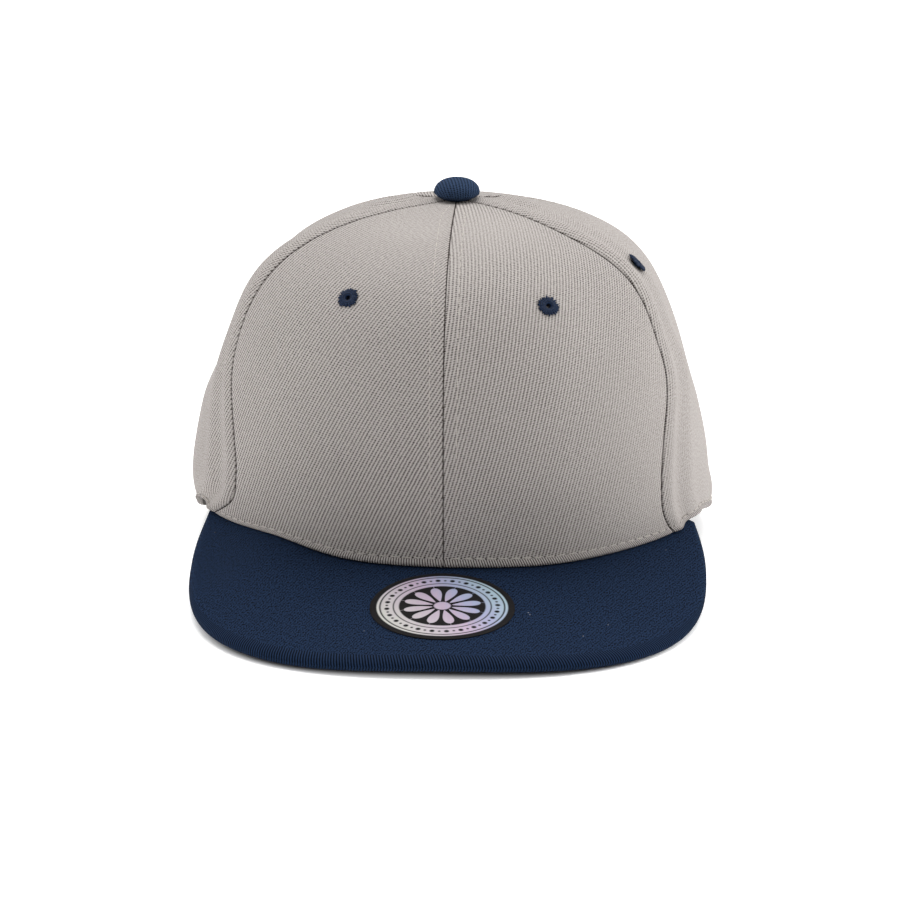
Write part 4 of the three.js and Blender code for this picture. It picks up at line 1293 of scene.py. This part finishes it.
def band(half_length, depth, round_end):
    """A flat band behind the back panels, as (columns, ring, 3), with its ends closed.

    Its section is a rounded bar; towards an end its half height shrinks as a circle does,
    sqrt(1 - s^2), over the last round_end of its length.
    """
    run = half_length * np.sin(np.linspace(-np.pi / 2, np.pi / 2, 121))
    ring = np.linspace(0, 2 * np.pi, 40, endpoint=False)
    lift = np.sign(np.cos(ring)) * np.abs(np.cos(ring)) ** 0.35
    thick = np.sign(np.sin(ring)) * np.abs(np.sin(ring)) ** 0.6
    into = np.clip((np.abs(run) - (half_length - round_end)) / round_end, 0, 1)
    half = (STRAP_HEIGHT / 2) * np.sqrt(np.clip(1 - into ** 2, 0, 1))
    azimuth = 180 + np.degrees(run / BACK_REACH)[:, None] + 0 * ring
    height = STRAP_HEIGHT / 2 + half[:, None] * lift
    middle = crown_face(azimuth, STRAP_SHARE + 0 * azimuth)
    normal = crown_normal(azimuth, STRAP_SHARE + 0 * azimuth) * (1, 1, 0)
    half_thick = STRAP_THICKNESS / 2 * np.sqrt(np.clip(1 - into ** 8, 0, 1))[:, None]
    points = middle - normal * (depth + STRAP_THICKNESS / 2 - half_thick * thick)[..., None]
    points[..., 2] = height
    weave = np.stack([run[:, None] + 0 * ring, height], -1)
    return points, weave


# %% The strap with its studs
STUD_COUNT, STUD_PITCH = 6, 9.5
STUD_PROFILE = [(0, 1.15), (1.0, 1.1), (1.7, 0.8), (2.1, 0.3), (2.25, -0.3), (0, -0.3)]


def strap_parts():
    """Both bands and the studs, as lists of points, quads and weave."""
    parts = []
    for half, depth, round_end in ((ARCH_WIDTH / 2 + STRAP_TUCK, STRAP_DEPTH, 6.0),
                                   (STRAP_LAP / 2, STRAP_DEPTH - STRAP_THICKNESS, 9.0)):
        points, weave = band(half, depth, round_end)
        parts.append((points.reshape(-1, 3), grid_faces(*points.shape[:2], wrap=True),
                      weave.reshape(-1, 2)))
    head = lathe(*np.array(STUD_PROFILE).T, 20)
    for i in range(STUD_COUNT):
        run = (i - (STUD_COUNT - 1) / 2) * STUD_PITCH
        place = np.array([180 + math.degrees(run / BACK_REACH)])
        middle = crown_face(place, np.array([STRAP_SHARE]))[0]
        normal = crown_normal(place, np.array([STRAP_SHARE]))[0]
        side = np.cross([0, 0, 1.0], normal)
        middle = middle - normal * (STRAP_DEPTH - STRAP_THICKNESS)
        middle[2] = STRAP_HEIGHT / 2
        points = middle + head.reshape(-1, 3) @ np.stack([side, [0, 0, 1.0], normal])
        parts.append((points, grid_faces(*head.shape[:2], wrap=True)[:, ::-1],
                      head.reshape(-1, 3)[:, :2]))
    return parts


parts = strap_parts()
starts = np.cumsum([0] + [len(points) for points, _, _ in parts])
strap = mesh_piece("snap_strap_band", np.concatenate([points for points, _, _ in parts]),
                   np.concatenate([faces + start for (_, faces, _), start in zip(parts, starts)]),
                   plastic,
                   {"weave": np.concatenate([weave for _, _, weave in parts])}, weld=True)
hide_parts("snap_strap")
print("strap", STRAP_HEIGHT, "mm high, with", STUD_COUNT, "studs")

# %% [markdown]
# ## The foil sticker
# A thin disc that follows the brim's arch. Its picture is drawn by its material from the place
# on the disc: rings, a row of dots, and a rosette of petals, all of them plain ornament.

# %% Sticker
STICKER_RADIUS, STICKER_THICKNESS, STICKER_FLOAT = 26.0, 0.30, 0.15
STICKER_ASIDE, STICKER_AHEAD = 1.3, 30.0   # stuck on a little to the right of the middle
STICKER_MIDDLE = (STICKER_ASIDE, -FRONT_REACH - STICKER_AHEAD * math.cos(BRIM_SLOPE))
rim = STICKER_RADIUS + np.array([-0.3, -0.1, 0.0, 0.0, -0.2, -1.0])
rows = np.concatenate([np.linspace(0, rim[0], 26), rim[1:5], np.linspace(rim[5], 0, 12)])
rise = np.concatenate([np.full(26, STICKER_THICKNESS), [0.27, 0.2, 0.05, 0], np.zeros(12)])
disc = lathe(rows, rise, 128)
disc[..., :2] += STICKER_MIDDLE
disc[..., 2] += brim_top(disc[..., 0], disc[..., 1]) + STICKER_FLOAT
prints = (disc[..., :2] - STICKER_MIDDLE) / STICKER_RADIUS
sticker = mesh_piece("sticker_foil", disc.reshape(-1, 3),
                     grid_faces(*disc.shape[:2], wrap=True)[:, ::-1], foil,
                     {"print": prints.reshape(-1, 2)}, weld=True)
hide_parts("sticker")
print("sticker", 2 * STICKER_RADIUS, "mm across")

# %% [markdown]
# ## Floor and light
# The photograph was taken on white, with soft light from above and from both sides and little
# from in front, so that the front panels darken towards the brim while the top and the flanks
# stay pale. Large area lights do that, and the world fills the rest. A painted glow on the floor
# washes out the cap's shadow there, all but the contact shadow.

# %% Floor
GLOW_MIDDLE, GLOW_REACH, GLOW_POWER = (0.002, -0.018), (0.093, 0.111), 3.4
GLOW = 0.46


def white_floor():
    """A pale, slightly rough plane, far larger than the view, that glows round the cap.

    The glow is painted light, not the paper's own: it washes out the cap's shadow on the
    floor, all but the contact shadow.
    It starts at r = 0.94, with r = (|(x - 2) / 93|^3.4 + |(y + 18) / 111|^3.4)^(1 / 3.4) in mm.
    """
    mesh = bpy.data.meshes.new("floor")
    mesh.from_pydata([(-8, -8, 0), (8, -8, 0), (8, 8, 0), (-8, 8, 0)], [], [(0, 1, 2, 3)])
    floor = bpy.data.objects.new("floor", mesh)
    bpy.context.scene.collection.objects.link(floor)
    board = Board("floor_white", Roughness=0.9, Base_Color=(0.93, 0.93, 0.93, 1),
                  Specular_IOR_Level=0.1, Emission_Strength=1.0)
    place = board.add("ShaderNodeTexCoord", out="Object")
    x, y = [board.add("ShaderNodeSeparateXYZ", {}, place, out=i) for i in range(2)]
    aside = ((x - GLOW_MIDDLE[0]) * (1 / GLOW_REACH[0])).size()
    ahead = ((y - GLOW_MIDDLE[1]) * (1 / GLOW_REACH[1])).size()
    r = (aside ** GLOW_POWER + ahead ** GLOW_POWER) ** (1 / GLOW_POWER)
    # painted light: the floor glows outside the cap's outline and washes its shadow out
    glow = board.mix(r.step(0.94, 1.01), (0, 0, 0, 1), (GLOW, GLOW, GLOW, 1))
    board.plug(board.shader.inputs["Emission Color"], glow)
    mesh.materials.append(board.material)


white_floor()
print("floor glows with", GLOW)

# %% Lights and world
def softbox(name, place, aim, size, watts):
    """A square area light at a place, turned to face a point."""
    data = bpy.data.lights.new(name, "AREA")
    data.shape, data.size, data.energy = "SQUARE", size, watts
    light = bpy.data.objects.new(name, data)
    z = np.subtract(place, aim)
    z = z / np.linalg.norm(z)
    x = np.cross([0, 1, 0] if abs(z[2]) > 0.99 else [0, 0, 1], z)
    x = x / np.linalg.norm(x)
    y = np.cross(z, x)
    light.matrix_world = Matrix(np.column_stack([x, y, z, place]).tolist()).to_4x4()
    light.visible_camera = False
    bpy.context.scene.collection.objects.link(light)


softbox("top", (0.1, 0.5, 2.2), (0, 0, 0.05), 1.8, 45)
softbox("left", (-2.0, 0.3, 1.0), (0, 0, 0.06), 1.4, 21)
softbox("right", (2.0, 0.3, 1.0), (0, 0, 0.06), 1.4, 26)
softbox("front", (0.3, -2.4, 1.9), (0, 0, 0.06), 1.2, 5)
world = bpy.data.worlds.new("studio")
world.use_nodes = True
world.node_tree.nodes["Background"].inputs["Color"].default_value = (1, 1, 1, 1)
world.node_tree.nodes["Background"].inputs["Strength"].default_value = 0.32
bpy.context.scene.world = world
bpy.context.scene.view_settings.view_transform = "Standard"
print("lights:", len(bpy.data.lights))
